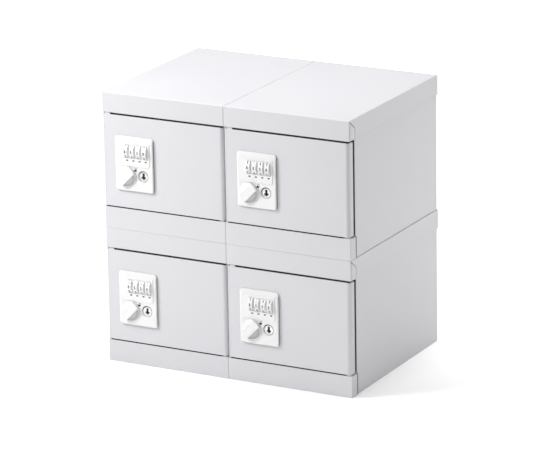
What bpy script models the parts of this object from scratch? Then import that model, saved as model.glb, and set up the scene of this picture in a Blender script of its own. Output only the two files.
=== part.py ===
"""A block of four steel box lockers, two wide and two high.

Each locker is a folded sheet cabinet with its own cap, bottom rail and door. The door turns on a pin
that stands up into the cap and on a stud that stands up from the rail. It carries a combination lock:
four thumbwheels on one axle, a turn knob whose shaft swings a latch cam behind the cabinet's front
frame, and a key plug for the override key.

Metres, +Z up, the front towards -Y. The origin is the middle of the block's underside.
"""

import math

import bmesh
import bpy
from mathutils import Matrix, Vector

# The block: lockers stand side by side in columns and are stacked in rows
COLUMNS = ("left", "right")
ROWS = ("lower", "upper")
COLUMN_GAP = 0.0006
ROW_GAP = 0.0003

# One locker. Its own frame has x to the right, y to the back and z up, from its front lower left corner
UNIT_WIDTH = 0.200
UNIT_DEPTH = 0.286
UNIT_HEIGHT = 0.204
SHEET = 0.001
FIT = 0.0003
FOLD_RADIUS = 0.0015
FOLD_STEPS = 2
OVERRUN = 0.002
SEAM = 0.00001

# The zone in front of the cabinet, which the cap's front channel, the door and the rail fill
FRONT_DEPTH = 0.018
CAP_HEIGHT = 0.030
RAIL_HEIGHT = 0.032

# Cap: a folded lid. Each front corner has a mitre seam and, below it, the seam of the front ear
CAP_LIP_GAP = 0.0009
EAR_SEAM_INSET = 0.0005
EAR_SEAM_WIDTH = 0.0003
MITRE_DROP = 0.014
MITRE_WIDTH = 0.0005

# Rail: a channel with closed ends, which stop short of the cabinet and leave a dark line
RAIL_END_GAP = 0.0014

# Cabinet: a box with a frame round its front opening and a rim round its open top
FRAME_SIDE = 0.016
FRAME_HEAD_DROP = 0.002
RIM_WIDTH = 0.012

# Door: a pan with a lip round its back. Its hinge edge is rounded about the pivot, and steps
# back less deep, so that its corner swings clear of the cabinet
DOOR_LEFT_GAP = 0.0035
DOOR_RIGHT_GAP = 0.001
DOOR_TOP_GAP = 0.002
DOOR_FOOT_GAP = 0.0018
DOOR_BACK_GAP = 0.0015
DOOR_LIP = 0.009
DOOR_EDGE_RADIUS = 0.0012
HINGE_RADIUS = 0.006
HINGE_STEPS = 6
HINGE_EDGE_DEPTH = 0.012
HINGE_EDGE_WIDTH = 0.011
HINGE_LIP = 0.004

# Pivots
PIVOT_RADIUS = 0.002
PIVOT_HEAD_RADIUS = 0.004
PIVOT_HEAD_HEIGHT = 0.002
PIVOT_TIP = 0.0015
PIVOT_CHAMFER = 0.0005
STUD_REACH = 0.004
PIVOT_SIDES = 16

# Lock plate. The lock's own frame has x to the right, y up and z out of the door's front face
LOCK_FROM_LEFT = 0.0522
LOCK_DROP = 0.0014
PLATE_WIDTH = 0.065
PLATE_HEIGHT = 0.084
PLATE_DEPTH = 0.004
PLATE_WALL = 0.002
PLATE_SIDE_SLOPE = 0.0045
PLATE_TOP_SLOPE = 0.008
PLATE_FOOT_SLOPE = 0.002
PLATE_CORNER = 0.004
PLATE_CORNER_STEPS = 3
PLATE_EDGE = 0.0005
PLATE_EDGE_STEPS = 1
PLATE_SEAT_GAP = 0.0001

# Raised panel that holds the dials, on the upper part of the plate
PANEL_RISE = 0.0005
PANEL_MARGIN = 0.0006
PANEL_FOOT = -0.0032
PANEL_CORNER = 0.005
PANEL_SMALL_CORNER = 0.0015
PANEL_CORNER_STEPS = 4
PANEL_SMALL_CORNER_STEPS = 2

# Dials: wheels on one axle, with a digit land every tenth of a turn and a finger notch between lands
DIALS = 4
DIGITS = 10
DIAL_RADIUS = 0.0125
DIAL_WIDTH = 0.0070
DIAL_PITCH = 0.0103
DIALS_OFFSET = 0.00505
DIALS_RISE = 0.0195
DIAL_REACH = 0.0055
DIAL_NOTCH = 0.0005
DIAL_SIDE_GAP = 0.0004
DIAL_ROUND_GAP = 0.0004
# Angles across one digit, as shares of its tenth of a turn, with 1 at a notch's full depth
DIAL_LAND_SHARES = ((-0.31, 0), (0, 0), (0.31, 0), (0.5, 1))
AXLE_RADIUS = 0.0012
AXLE_SIDES = 12
WINDOW_SIDES = 32

# Turn knob and its shaft
KNOB_OFFSET = -0.0105
KNOB_DROP = 0.0187
KNOB_RADIUS = 0.01525
KNOB_BASE = 0.0012
KNOB_RISE = 0.0040
KNOB_ROUND = 0.0008
KNOB_SIDES = 32
GRIP_WIDTH = 0.012
GRIP_FILLET = 0.0016
GRIP_FILLET_STEPS = 3
GRIP_ANGLE = math.radians(45)
SHAFT_RADIUS = 0.003
SHAFT_TIP = 0.001
SHAFT_SIDES = 16

# Latch cam: a tongue on the shaft's end, behind the front frame's plane
CAM_LENGTH = 0.033
CAM_HUB_RADIUS = 0.0065
CAM_TIP_RADIUS = 0.004
CAM_DEPTH = 0.002
CAM_FRAME_GAP = 0.0006
CAM_CASE_GAP = 0.0005
CAM_ARC_STEPS = 8

# Key plug, the pocket that it lies in, and its keyway
KEY_OFFSET = 0.0163
KEY_DROP = 0.0165
POCKET_RADIUS = 0.0083
POCKET_DEPTH = 0.0014
POCKET_SIDES = 32
PLUG_RADIUS = 0.0062
PLUG_RISE = 0.0004
PLUG_ROUND = 0.0004
PLUG_SIDES = 28
KEYWAY_WIDTH = 0.0017
KEYWAY_HEIGHT = 0.0080
KEYWAY_WARD_WIDTH = 0.0048
KEYWAY_WARD_HEIGHT = 0.0026
KEYWAY_WARD_SHIFT = -0.0006
KEYWAY_WARD_DROP = 0.0019
KEYWAY_DEPTH = 0.008

# Lock case: a cup behind the door, round the wheels and the shafts
CUTOUT_GAP = 0.0011
CASE_WALL = 0.0015
CASE_SIDE_LAND = 0.003
CASE_END_LAND = 0.004
CASE_CORNER = 0.002

# Places that follow from the sizes above, in the locker's own frame
CABINET_INSET = SHEET + FIT
CAP_FOOT = UNIT_HEIGHT - CAP_HEIGHT
DOOR_TOP = CAP_FOOT - DOOR_TOP_GAP
DOOR_FOOT = RAIL_HEIGHT + DOOR_FOOT_GAP
DOOR_LEFT = DOOR_LEFT_GAP
DOOR_RIGHT = UNIT_WIDTH - DOOR_RIGHT_GAP
DOOR_DEPTH = FRONT_DEPTH - DOOR_BACK_GAP
HINGE_X = DOOR_RIGHT - HINGE_RADIUS
HINGE_Y = HINGE_RADIUS
HINGE_HOLE = PIVOT_RADIUS + FIT

# Heights in the lock's own frame, from the door's front face
PANEL_FRONT = PLATE_DEPTH + PANEL_RISE
POCKET_FLOOR = PLATE_DEPTH - POCKET_DEPTH
DIAL_AXIS = PANEL_FRONT + DIAL_REACH - DIAL_RADIUS
KNOB_BACK = PLATE_DEPTH + FIT
KNOB_FRONT = KNOB_BACK + KNOB_BASE + KNOB_RISE
CAM_FRONT = -(FRONT_DEPTH + SHEET + CAM_FRAME_GAP)
CAM_BACK = CAM_FRONT - CAM_DEPTH
CASE_FRONT = -(SHEET + FIT)
CASE_BACK = CAM_FRONT + CAM_CASE_GAP

# The door's cut-out clears the dials, and the case closes it from behind
DIALS_SIDE = DIALS_OFFSET + (DIALS - 1) / 2 * DIAL_PITCH + DIAL_WIDTH / 2
CUTOUT_WIDTH = 2 * (DIALS_SIDE + CUTOUT_GAP)
CUTOUT_HEIGHT = 2 * (DIALS_RISE + DIAL_RADIUS + CUTOUT_GAP)
CASE_WIDTH = CUTOUT_WIDTH + 2 * CASE_SIDE_LAND
CASE_HEIGHT = CUTOUT_HEIGHT + 2 * CASE_END_LAND

LOCK_REACH = max(KNOB_FRONT, PANEL_FRONT + DIAL_REACH)
LOCK_PLACE = Vector((LOCK_FROM_LEFT, 0, (DOOR_FOOT + DOOR_TOP) / 2 - LOCK_DROP))
# Turns the lock's own frame, drawn flat and facing up, to face the front
LOCK_FACING = Matrix.Translation(LOCK_PLACE) @ Matrix.Rotation(math.radians(90), 4, "X")

LEFT, RIGHT = Vector((-1, 0, 0)), Vector((1, 0, 0))
FRONT, BACK = Vector((0, -1, 0)), Vector((0, 1, 0))
DOWN, UP = Vector((0, 0, -1)), Vector((0, 0, 1))


# Scene and materials


def clear_scene():
    """Removes whatever the scene starts with."""
    for thing in list(bpy.data.objects):
        bpy.data.objects.remove(thing)


def new_collection(name):
    made = bpy.data.collections.new(name)
    bpy.context.scene.collection.children.link(made)
    return made


def new_material(name, colour, roughness, metallic):
    made = bpy.data.materials.new(name)
    made.use_nodes = True
    shader = made.node_tree.nodes["Principled BSDF"]
    shader.inputs["Base Color"].default_value = (*colour, 1)
    shader.inputs["Roughness"].default_value = roughness
    shader.inputs["Metallic"].default_value = metallic
    made.diffuse_color = (*colour, 1)
    return made


# Shapes


def block(name, low, high):
    """A box between two corners."""
    low, high = Vector(low), Vector(high)
    bpy.ops.mesh.primitive_cube_add(size=1)
    made = bpy.context.object
    made.name = name
    made.scale = high - low
    made.location = (low + high) / 2
    bpy.ops.object.transform_apply(location=True, rotation=False, scale=True)
    return made


def rod(name, radius, start, end, sides):
    """A cylinder from one point to another."""
    start, end = Vector(start), Vector(end)
    bpy.ops.mesh.primitive_cylinder_add(vertices=sides, radius=radius, depth=(end - start).length)
    made = bpy.context.object
    made.name = name
    made.rotation_euler = (end - start).to_track_quat("Z", "Y").to_euler()
    made.location = (start + end) / 2
    bpy.ops.object.transform_apply(location=True, rotation=True, scale=False)
    return made


def turned(name, profile, sides):
    """A solid turned about Z from (radius, height) points that run from its top to its foot."""
    mesh = bpy.data.meshes.new(name)
    points = [(radius, 0, height) for radius, height in profile]
    mesh.from_pydata(points, [(i, i + 1) for i in range(len(points) - 1)], [])
    made = bpy.data.objects.new(name, mesh)
    bpy.context.scene.collection.objects.link(made)
    screw = made.modifiers.new("Turned", "SCREW")
    screw.steps = screw.render_steps = sides
    screw.use_merge_vertices = True
    screw.merge_threshold = SEAM
    return made


def flat_outline(name, outlines, thickness):
    """A flat plate centred on z = 0, with the first outline as its edge and the others as holes."""
    curve = bpy.data.curves.new(name, "CURVE")
    curve.dimensions = "2D"
    curve.fill_mode = "BOTH"
    curve.extrude = thickness / 2
    for outline in outlines:
        spline = curve.splines.new("POLY")
        spline.points.add(len(outline) - 1)
        for point, (x, y) in zip(spline.points, outline):
            point.co = (x, y, 0, 1)
        spline.use_cyclic_u = True
    made = bpy.data.objects.new(name, curve)
    bpy.context.scene.collection.objects.link(made)
    return meshed(made)


def circle(radius, sides):
    """Points round a circle, for an outline."""
    turns = [2 * math.pi * i / sides for i in range(sides)]
    return [(radius * math.cos(turn), radius * math.sin(turn)) for turn in turns]


def meshed(thing):
    """The object as a plain mesh in its own place, with its modifiers applied and its seams joined."""
    bpy.context.view_layer.update()
    shown = thing.evaluated_get(bpy.context.evaluated_depsgraph_get())
    mesh = bpy.data.meshes.new_from_object(shown)
    mesh.transform(thing.matrix_world)
    shape = bmesh.new()
    shape.from_mesh(mesh)
    bmesh.ops.remove_doubles(shape, verts=shape.verts, dist=SEAM)
    shape.to_mesh(mesh)
    shape.free()
    made = bpy.data.objects.new(thing.name, mesh)
    bpy.data.objects.remove(thing)
    made.name = mesh.name = made.name.split(".")[0]
    bpy.context.scene.collection.objects.link(made)
    return made


# Operations on a shape


def edges_between(shape, first, second):
    """The edges that a face looking along first shares with a face looking along second."""
    shape.normal_update()
    found = []
    for edge in shape.edges:
        facing = [face.normal for face in edge.link_faces]
        for one, other in (facing, facing[::-1]) if len(facing) == 2 else ():
            if one.dot(first) > 1 - SEAM and other.dot(second) > 1 - SEAM:
                found.append(edge)
    return found


def round_edges(shape, edges, radius, steps):
    bmesh.ops.bevel(
        shape, geom=edges, offset=radius, segments=steps, profile=0.5, affect="EDGES"
    )
    shape.normal_update()


def face_at(shape, normal, point):
    """The flat face that looks along normal and holds the point, seen along the normal."""
    for face in shape.faces:
        if face.normal.dot(normal) < 1 - SEAM:
            continue
        level = point + normal * normal.dot(face.verts[0].co - point)
        if bmesh.geometry.intersect_face_point(face, level):
            return face
    return None


def cut_window(shape, normal, low, high):
    """Opens the flat sheet that looks along normal, between two corners."""
    low, high = Vector(low), Vector(high)
    middle = (low + high) / 2
    for axis in (RIGHT, BACK, UP):
        for corner in (low, high):
            face = face_at(shape, normal, middle)
            if abs(axis.dot(normal)) < 0.5:
                bmesh.ops.bisect_plane(
                    shape,
                    geom=[face, *face.edges, *face.verts],
                    dist=SEAM,
                    plane_co=corner,
                    plane_no=axis,
                )
                shape.normal_update()
    bmesh.ops.delete(shape, geom=[face_at(shape, normal, middle)], context="FACES")


def solidify(thing, thickness):
    """Gives a folded surface its thickness, on its inner side."""
    wall = thing.modifiers.new("Sheet", "SOLIDIFY")
    wall.thickness = thickness
    wall.offset = -1
    wall.use_even_offset = True
    wall.use_quality_normals = True


def combine(thing, tools, operation):
    """Cuts the tools out of a shape, or joins them to it, and returns the new shape."""
    for tool in tools:
        change = thing.modifiers.new(tool.name, "BOOLEAN")
        change.operation = operation
        change.solver = "EXACT"
        change.object = tool
        tool.hide_render = True
        tool.display_type = "WIRE"
        for home in tool.users_collection:
            home.objects.unlink(tool)
        cutters.objects.link(tool)
    return meshed(thing)


def cut(thing, tools):
    return combine(thing, tools, "DIFFERENCE")


def join(thing, tools):
    return combine(thing, tools, "UNION")


# Sheet metal pieces, in the locker's own frame


def cabinet():
    """The folded and welded box, with a frame round the front opening and a rim round the top."""
    low = Vector((CABINET_INSET, FRONT_DEPTH, 0))
    high = Vector(
        (UNIT_WIDTH - CABINET_INSET, UNIT_DEPTH - CABINET_INSET, UNIT_HEIGHT - CABINET_INSET)
    )
    made = block("cabinet", low, high)
    shape = bmesh.new()
    shape.from_mesh(made.data)
    upright = [
        edge
        for side in (LEFT, RIGHT)
        for end in (FRONT, BACK)
        for edge in edges_between(shape, side, end)
    ]
    round_edges(shape, upright, FOLD_RADIUS, FOLD_STEPS)
    cut_window(
        shape,
        FRONT,
        (low.x + FRAME_SIDE, low.y, RAIL_HEIGHT),
        (high.x - FRAME_SIDE, low.y, CAP_FOOT - FRAME_HEAD_DROP),
    )
    cut_window(
        shape,
        UP,
        (low.x + RIM_WIDTH, low.y + RIM_WIDTH, high.z),
        (high.x - RIM_WIDTH, high.y - RIM_WIDTH, high.z),
    )
    shape.to_mesh(made.data)
    shape.free()
    solidify(made, SHEET)
    return meshed(made)


def cap_seams():
    """Cutters for the two seams at each front corner of the cap, left and right alike."""
    seam_y = FRONT_DEPTH - EAR_SEAM_INSET
    start = Vector((0, SHEET, UNIT_HEIGHT - SHEET))
    end = Vector((0, seam_y, UNIT_HEIGHT - MITRE_DROP))
    middle, along = (start + end) / 2, end - start
    tools = []
    for side, x in ((LEFT, 0), (RIGHT, UNIT_WIDTH)):
        outer, inner = x + side.x * OVERRUN, x - side.x * (SHEET + FIT)
        ends = sorted((outer, inner))
        slit = block(
            "mitre_seam",
            (ends[0], -along.length / 2, -MITRE_WIDTH / 2),
            (ends[1], along.length / 2, MITRE_WIDTH / 2),
        )
        slit.rotation_euler.x = math.atan2(along.z, along.y)
        slit.location = middle
        tools.append(slit)
        tools.append(
            block(
                "ear_seam",
                (ends[0], seam_y - EAR_SEAM_WIDTH / 2, CAP_FOOT - OVERRUN),
                (ends[1], seam_y + EAR_SEAM_WIDTH / 2, end.z),
            )
        )
    return tools


def cap():
    """The lid: flanges down all round, and a channel across the front with the upper pivot's hole."""
    low, high = Vector((0, 0, CAP_FOOT)), Vector((UNIT_WIDTH, UNIT_DEPTH, UNIT_HEIGHT))
    made = block("cap", low, high)
    shape = bmesh.new()
    shape.from_mesh(made.data)
    folds = [
        edge for side in (LEFT, RIGHT, FRONT, BACK) for edge in edges_between(shape, UP, side)
    ]
    folds += edges_between(shape, FRONT, DOWN)
    folds += [
        edge
        for side in (LEFT, RIGHT)
        for end in (FRONT, BACK)
        for edge in edges_between(shape, side, end)
    ]
    round_edges(shape, folds, FOLD_RADIUS, FOLD_STEPS)
    cut_window(
        shape,
        DOWN,
        (low.x - OVERRUN, FRONT_DEPTH - CAP_LIP_GAP, low.z),
        (high.x + OVERRUN, high.y + OVERRUN, low.z),
    )
    shape.to_mesh(made.data)
    shape.free()
    solidify(made, SHEET)
    hole = rod(
        "pivot_hole",
        HINGE_HOLE,
        (HINGE_X, HINGE_Y, CAP_FOOT - OVERRUN),
        (HINGE_X, HINGE_Y, CAP_FOOT + SHEET + OVERRUN),
        PIVOT_SIDES,
    )
    return cut(meshed(made), [hole, *cap_seams()])


def rail():
    """The bottom rail: a channel with closed ends, and the stud that the door's foot turns on."""
    low, high = Vector((0, 0, 0)), Vector((UNIT_WIDTH, FRONT_DEPTH - FIT, RAIL_HEIGHT))
    made = block("rail", low, high)
    shape = bmesh.new()
    shape.from_mesh(made.data)
    folds = [
        edge for side in (LEFT, RIGHT, UP, DOWN) for edge in edges_between(shape, FRONT, side)
    ]
    folds += [edge for side in (LEFT, RIGHT) for edge in edges_between(shape, UP, side)]
    round_edges(shape, folds, FOLD_RADIUS, FOLD_STEPS)
    cut_window(
        shape,
        BACK,
        (low.x - OVERRUN, high.y, low.z - OVERRUN),
        (high.x + OVERRUN, high.y, high.z + OVERRUN),
    )
    shape.to_mesh(made.data)
    shape.free()
    solidify(made, SHEET)
    ends = [
        block(
            "rail_end_gap",
            (x - FOLD_RADIUS, FRONT_DEPTH - RAIL_END_GAP, low.z - OVERRUN),
            (x + FOLD_RADIUS, FRONT_DEPTH + OVERRUN, high.z + OVERRUN),
        )
        for x in (low.x, high.x)
    ]
    made = cut(meshed(made), ends)
    collar_top = DOOR_FOOT - FIT
    tip = DOOR_FOOT + SHEET + STUD_REACH
    stud = turned(
        "stud",
        [
            (0, tip),
            (PIVOT_RADIUS - PIVOT_CHAMFER, tip),
            (PIVOT_RADIUS, tip - PIVOT_CHAMFER),
            (PIVOT_RADIUS, collar_top),
            (PIVOT_HEAD_RADIUS, collar_top),
            (PIVOT_HEAD_RADIUS, RAIL_HEIGHT - SHEET / 2),
            (0, RAIL_HEIGHT - SHEET / 2),
        ],
        PIVOT_SIDES,
    )
    stud.location = (HINGE_X, HINGE_Y, 0)
    return join(made, [meshed(stud)])


def door():
    """The door pan, with its lock opening, its pivot holes and its shallower, rounded hinge edge."""
    low = Vector((DOOR_LEFT, 0, DOOR_FOOT))
    high = Vector((DOOR_RIGHT, DOOR_DEPTH, DOOR_TOP))
    made = block("door", low, high)
    step = block(
        "hinge_edge_step",
        (high.x - HINGE_EDGE_WIDTH, HINGE_EDGE_DEPTH, low.z - OVERRUN),
        high + Vector((OVERRUN, OVERRUN, OVERRUN)),
    )
    made = cut(made, [step])
    shape = bmesh.new()
    shape.from_mesh(made.data)
    round_edges(shape, edges_between(shape, FRONT, RIGHT), HINGE_RADIUS, HINGE_STEPS)
    rims = []
    for edge in shape.edges:
        middle = (edge.verts[0].co + edge.verts[1].co) / 2
        level = any(abs(face.normal.z) > 0.5 for face in edge.link_faces)
        if level and middle.y < HINGE_EDGE_DEPTH - SEAM:
            rims.append(edge)
    rims += edges_between(shape, FRONT, LEFT)
    round_edges(shape, rims, DOOR_EDGE_RADIUS, FOLD_STEPS)
    cut_window(
        shape,
        BACK,
        (low.x + DOOR_LIP, high.y, low.z + DOOR_LIP),
        (high.x - HINGE_EDGE_WIDTH - HINGE_LIP, high.y, high.z - DOOR_LIP),
    )
    shape.to_mesh(made.data)
    shape.free()
    solidify(made, SHEET)
    opening = block(
        "lock_opening",
        (-CUTOUT_WIDTH / 2, -CUTOUT_HEIGHT / 2, -SHEET - OVERRUN),
        (CUTOUT_WIDTH / 2, CUTOUT_HEIGHT / 2, OVERRUN),
    )
    opening.matrix_world = LOCK_FACING
    holes = rod(
        "pivot_holes",
        HINGE_HOLE,
        (HINGE_X, HINGE_Y, low.z - OVERRUN),
        (HINGE_X, HINGE_Y, high.z + OVERRUN),
        PIVOT_SIDES,
    )
    return cut(meshed(made), [opening, holes])


def hinge_pin():
    """The upper pivot: its head lies under the door's top sheet, and its shank stands up into the cap."""
    head_top = DOOR_TOP - SHEET - FIT
    tip = CAP_FOOT + SHEET + PIVOT_TIP
    made = turned(
        "hinge_pin",
        [
            (0, tip),
            (PIVOT_RADIUS - PIVOT_CHAMFER, tip),
            (PIVOT_RADIUS, tip - PIVOT_CHAMFER),
            (PIVOT_RADIUS, head_top),
            (PIVOT_HEAD_RADIUS - PIVOT_CHAMFER, head_top),
            (PIVOT_HEAD_RADIUS, head_top - PIVOT_CHAMFER),
            (PIVOT_HEAD_RADIUS, head_top - PIVOT_HEAD_HEIGHT),
            (0, head_top - PIVOT_HEAD_HEIGHT),
        ],
        PIVOT_SIDES,
    )
    made.location = (HINGE_X, HINGE_Y, 0)
    return meshed(made)


# Lock pieces, in the lock's own frame


def dial_place(number):
    """The middle of a dial, counted from the left."""
    across = DIALS_OFFSET + (number - (DIALS - 1) / 2) * DIAL_PITCH
    return Vector((across, DIALS_RISE, DIAL_AXIS))


def knob_place(height):
    return Vector((KNOB_OFFSET, -KNOB_DROP, height))


def key_place(height):
    return Vector((KEY_OFFSET, -KEY_DROP, height))


def lock_plate():
    """The moulded escutcheon: sloping edges, a raised dial panel and a pocket for the key plug."""
    left, right = -PLATE_WIDTH / 2, PLATE_WIDTH / 2
    foot, top = -PLATE_HEIGHT / 2, PLATE_HEIGHT / 2
    made = block("lock_plate", (left, foot, PLATE_SEAT_GAP), (right, top, PLATE_DEPTH))
    shape = bmesh.new()
    shape.from_mesh(made.data)
    corners = [
        edge for side in (LEFT, RIGHT) for end in (FRONT, BACK)
        for edge in edges_between(shape, side, end)
    ]
    round_edges(shape, corners, PLATE_CORNER, PLATE_CORNER_STEPS)
    bmesh.ops.bisect_plane(
        shape,
        geom=[*shape.verts, *shape.edges, *shape.faces],
        dist=SEAM,
        plane_co=(0, 0, PLATE_WALL),
        plane_no=UP,
    )
    for vertex in shape.verts:
        if vertex.co.z > PLATE_WALL + SEAM:
            vertex.co.x -= math.copysign(PLATE_SIDE_SLOPE, vertex.co.x)
            vertex.co.y -= PLATE_TOP_SLOPE if vertex.co.y > 0 else -PLATE_FOOT_SLOPE
    shape.normal_update()
    face = face_at(shape, UP, Vector((0, 0, 0)))
    round_edges(shape, list(face.edges), PLATE_EDGE, PLATE_EDGE_STEPS)
    shape.to_mesh(made.data)
    shape.free()

    panel = block(
        "dial_panel",
        (left + PLATE_SIDE_SLOPE + PANEL_MARGIN, PANEL_FOOT, PLATE_DEPTH / 2),
        (
            right - PLATE_SIDE_SLOPE - PANEL_MARGIN,
            top - PLATE_TOP_SLOPE - PANEL_MARGIN,
            PANEL_FRONT,
        ),
    )
    shape = bmesh.new()
    shape.from_mesh(panel.data)
    round_edges(shape, edges_between(shape, RIGHT, FRONT), PANEL_CORNER, PANEL_CORNER_STEPS)
    small = [
        edge for side, end in ((LEFT, FRONT), (LEFT, BACK), (RIGHT, BACK))
        for edge in edges_between(shape, side, end)
    ]
    round_edges(shape, small, PANEL_SMALL_CORNER, PANEL_SMALL_CORNER_STEPS)
    shape.to_mesh(panel.data)
    shape.free()
    made = join(made, [panel])
    half = DIAL_WIDTH / 2 + DIAL_SIDE_GAP
    windows = [
        rod(
            "dial_window",
            DIAL_RADIUS + DIAL_ROUND_GAP,
            dial_place(number) - RIGHT * half,
            dial_place(number) + RIGHT * half,
            WINDOW_SIDES,
        )
        for number in range(DIALS)
    ]
    below, above = -OVERRUN, PANEL_FRONT + OVERRUN
    shaft_hole = rod(
        "shaft_hole", SHAFT_RADIUS + FIT, knob_place(below), knob_place(above), SHAFT_SIDES
    )
    plug_hole = rod("plug_hole", PLUG_RADIUS + FIT, key_place(below), key_place(above), PLUG_SIDES)
    pocket = rod("key_pocket", POCKET_RADIUS, key_place(POCKET_FLOOR), key_place(above), POCKET_SIDES)
    return cut(made, [*windows, shaft_hole, plug_hole, pocket])


def lock_case():
    """The cup behind the door, with a bore for the knob's shaft and slots that the axle drops into."""
    low = Vector((-CASE_WIDTH / 2, -CASE_HEIGHT / 2, CASE_BACK))
    high = Vector((CASE_WIDTH / 2, CASE_HEIGHT / 2, CASE_FRONT))
    made = block("lock_case", low, high)
    shape = bmesh.new()
    shape.from_mesh(made.data)
    corners = [
        edge for side in (LEFT, RIGHT) for end in (FRONT, BACK)
        for edge in edges_between(shape, side, end)
    ]
    round_edges(shape, corners, CASE_CORNER, FOLD_STEPS)
    cut_window(
        shape,
        UP,
        (low.x - OVERRUN, low.y - OVERRUN, high.z),
        (high.x + OVERRUN, high.y + OVERRUN, high.z),
    )
    shape.to_mesh(made.data)
    shape.free()
    solidify(made, CASE_WALL)
    shaft_bore = rod(
        "shaft_bore",
        SHAFT_RADIUS + FIT,
        knob_place(CASE_BACK - OVERRUN),
        knob_place(CASE_BACK + CASE_WALL + OVERRUN),
        SHAFT_SIDES,
    )
    across = RIGHT * (CASE_WIDTH / 2 + OVERRUN)
    centre = Vector((0, DIALS_RISE, DIAL_AXIS))
    axle_bore = rod("axle_bore", AXLE_RADIUS + FIT, centre - across, centre + across, AXLE_SIDES)
    lead = Vector((0, AXLE_RADIUS + FIT, 0))
    axle_slot = block(
        "axle_slot",
        centre - across - lead,
        centre + across + lead + UP * (CASE_FRONT - DIAL_AXIS + OVERRUN),
    )
    return cut(meshed(made), [shaft_bore, axle_bore, axle_slot])


def dial_axle():
    across = RIGHT * (CASE_WIDTH / 2)
    centre = Vector((0, DIALS_RISE, DIAL_AXIS))
    return rod("dial_axle", AXLE_RADIUS, centre - across, centre + across, AXLE_SIDES)


def dial():
    """One thumbwheel, about its own middle, with a digit land straight ahead."""
    outline = []
    for digit in range(DIGITS):
        for share, depth in DIAL_LAND_SHARES:
            turn = 2 * math.pi * (digit + share) / DIGITS
            radius = DIAL_RADIUS - DIAL_NOTCH * depth
            outline.append((radius * math.cos(turn), radius * math.sin(turn)))
    made = flat_outline("dial", [outline, circle(AXLE_RADIUS + FIT, AXLE_SIDES)], DIAL_WIDTH)
    # The outline's first land, drawn along its own x, comes to face along the lock's z
    made.data.transform(Matrix.Rotation(math.radians(-90), 4, "Y"))
    return made


def turn_knob():
    """The knob, turned with its shaft, and cut down on both sides to leave the grip."""
    made = turned(
        "turn_knob",
        [
            (0, KNOB_FRONT),
            (KNOB_RADIUS - KNOB_ROUND, KNOB_FRONT),
            (KNOB_RADIUS, KNOB_FRONT - KNOB_ROUND),
            (KNOB_RADIUS, KNOB_BACK),
            (SHAFT_RADIUS, KNOB_BACK),
            (SHAFT_RADIUS, CAM_BACK - SHAFT_TIP),
            (0, CAM_BACK - SHAFT_TIP),
        ],
        KNOB_SIDES,
    )
    made.location = knob_place(0)
    tools = []
    for turn in (GRIP_ANGLE, GRIP_ANGLE + math.pi):
        side = block(
            "grip_side",
            (-KNOB_RADIUS - OVERRUN, GRIP_WIDTH / 2, KNOB_BACK + KNOB_BASE),
            (KNOB_RADIUS + OVERRUN, KNOB_RADIUS + OVERRUN, KNOB_FRONT + OVERRUN),
        )
        shape = bmesh.new()
        shape.from_mesh(side.data)
        round_edges(shape, edges_between(shape, DOWN, FRONT), GRIP_FILLET, GRIP_FILLET_STEPS)
        shape.to_mesh(side.data)
        shape.free()
        side.rotation_euler.z = turn
        side.location = knob_place(0)
        tools.append(side)
    return cut(meshed(made), tools)


def latch_cam():
    """The latch's tongue, pointing up, with a hole that fits the knob's shaft."""
    lean = math.asin((CAM_HUB_RADIUS - CAM_TIP_RADIUS) / (CAM_LENGTH - CAM_TIP_RADIUS))
    tip_height = CAM_LENGTH - CAM_TIP_RADIUS
    outline = []
    for step in range(CAM_ARC_STEPS + 1):
        turn = lean + (math.pi - 2 * lean) * step / CAM_ARC_STEPS
        x, y = math.cos(turn), math.sin(turn)
        outline.append((CAM_TIP_RADIUS * x, tip_height + CAM_TIP_RADIUS * y))
    for step in range(CAM_ARC_STEPS + 1):
        turn = math.pi - lean + (math.pi + 2 * lean) * step / CAM_ARC_STEPS
        x, y = math.cos(turn), math.sin(turn)
        outline.append((CAM_HUB_RADIUS * x, CAM_HUB_RADIUS * y))
    hole = circle(SHAFT_RADIUS + FIT, SHAFT_SIDES)
    made = flat_outline("latch_cam", [outline, hole], CAM_DEPTH)
    made.location = knob_place(CAM_FRONT - CAM_DEPTH / 2)
    return meshed(made)


def key_plug():
    """The override key's plug, with its keyway, as deep as the case."""
    front, back = POCKET_FLOOR + PLUG_RISE, CASE_BACK + CASE_WALL + FIT
    made = turned(
        "key_plug",
        [
            (0, front),
            (PLUG_RADIUS - PLUG_ROUND, front),
            (PLUG_RADIUS, front - PLUG_ROUND),
            (PLUG_RADIUS, back),
            (0, back),
        ],
        PLUG_SIDES,
    )
    made.location = key_place(0)
    floor = front - KEYWAY_DEPTH
    blade = block(
        "keyway",
        (-KEYWAY_WIDTH / 2, -KEYWAY_HEIGHT / 2, floor),
        (KEYWAY_WIDTH / 2, KEYWAY_HEIGHT / 2, front + OVERRUN),
    )
    ward = block(
        "keyway_ward",
        (
            KEYWAY_WARD_SHIFT - KEYWAY_WARD_WIDTH / 2,
            -KEYWAY_WARD_DROP - KEYWAY_WARD_HEIGHT / 2,
            floor + OVERRUN,
        ),
        (
            KEYWAY_WARD_SHIFT + KEYWAY_WARD_WIDTH / 2,
            -KEYWAY_WARD_DROP + KEYWAY_WARD_HEIGHT / 2,
            front + OVERRUN,
        ),
    )
    for tool in (blade, ward):
        tool.location = key_place(0)
    return cut(meshed(made), [blade, ward])


# The block of lockers


def pivoted(thing, pivot, facing=None):
    """The piece's mesh about its pivot, and the pivot in the locker's own frame."""
    mesh = thing.data
    if facing:
        mesh.transform(facing)
        pivot = facing @ pivot
    mesh.transform(Matrix.Translation(-pivot))
    mesh.shade_smooth()
    mesh.set_sharp_from_angle(angle=math.radians(30))
    bpy.data.objects.remove(thing)
    return mesh, pivot


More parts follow.
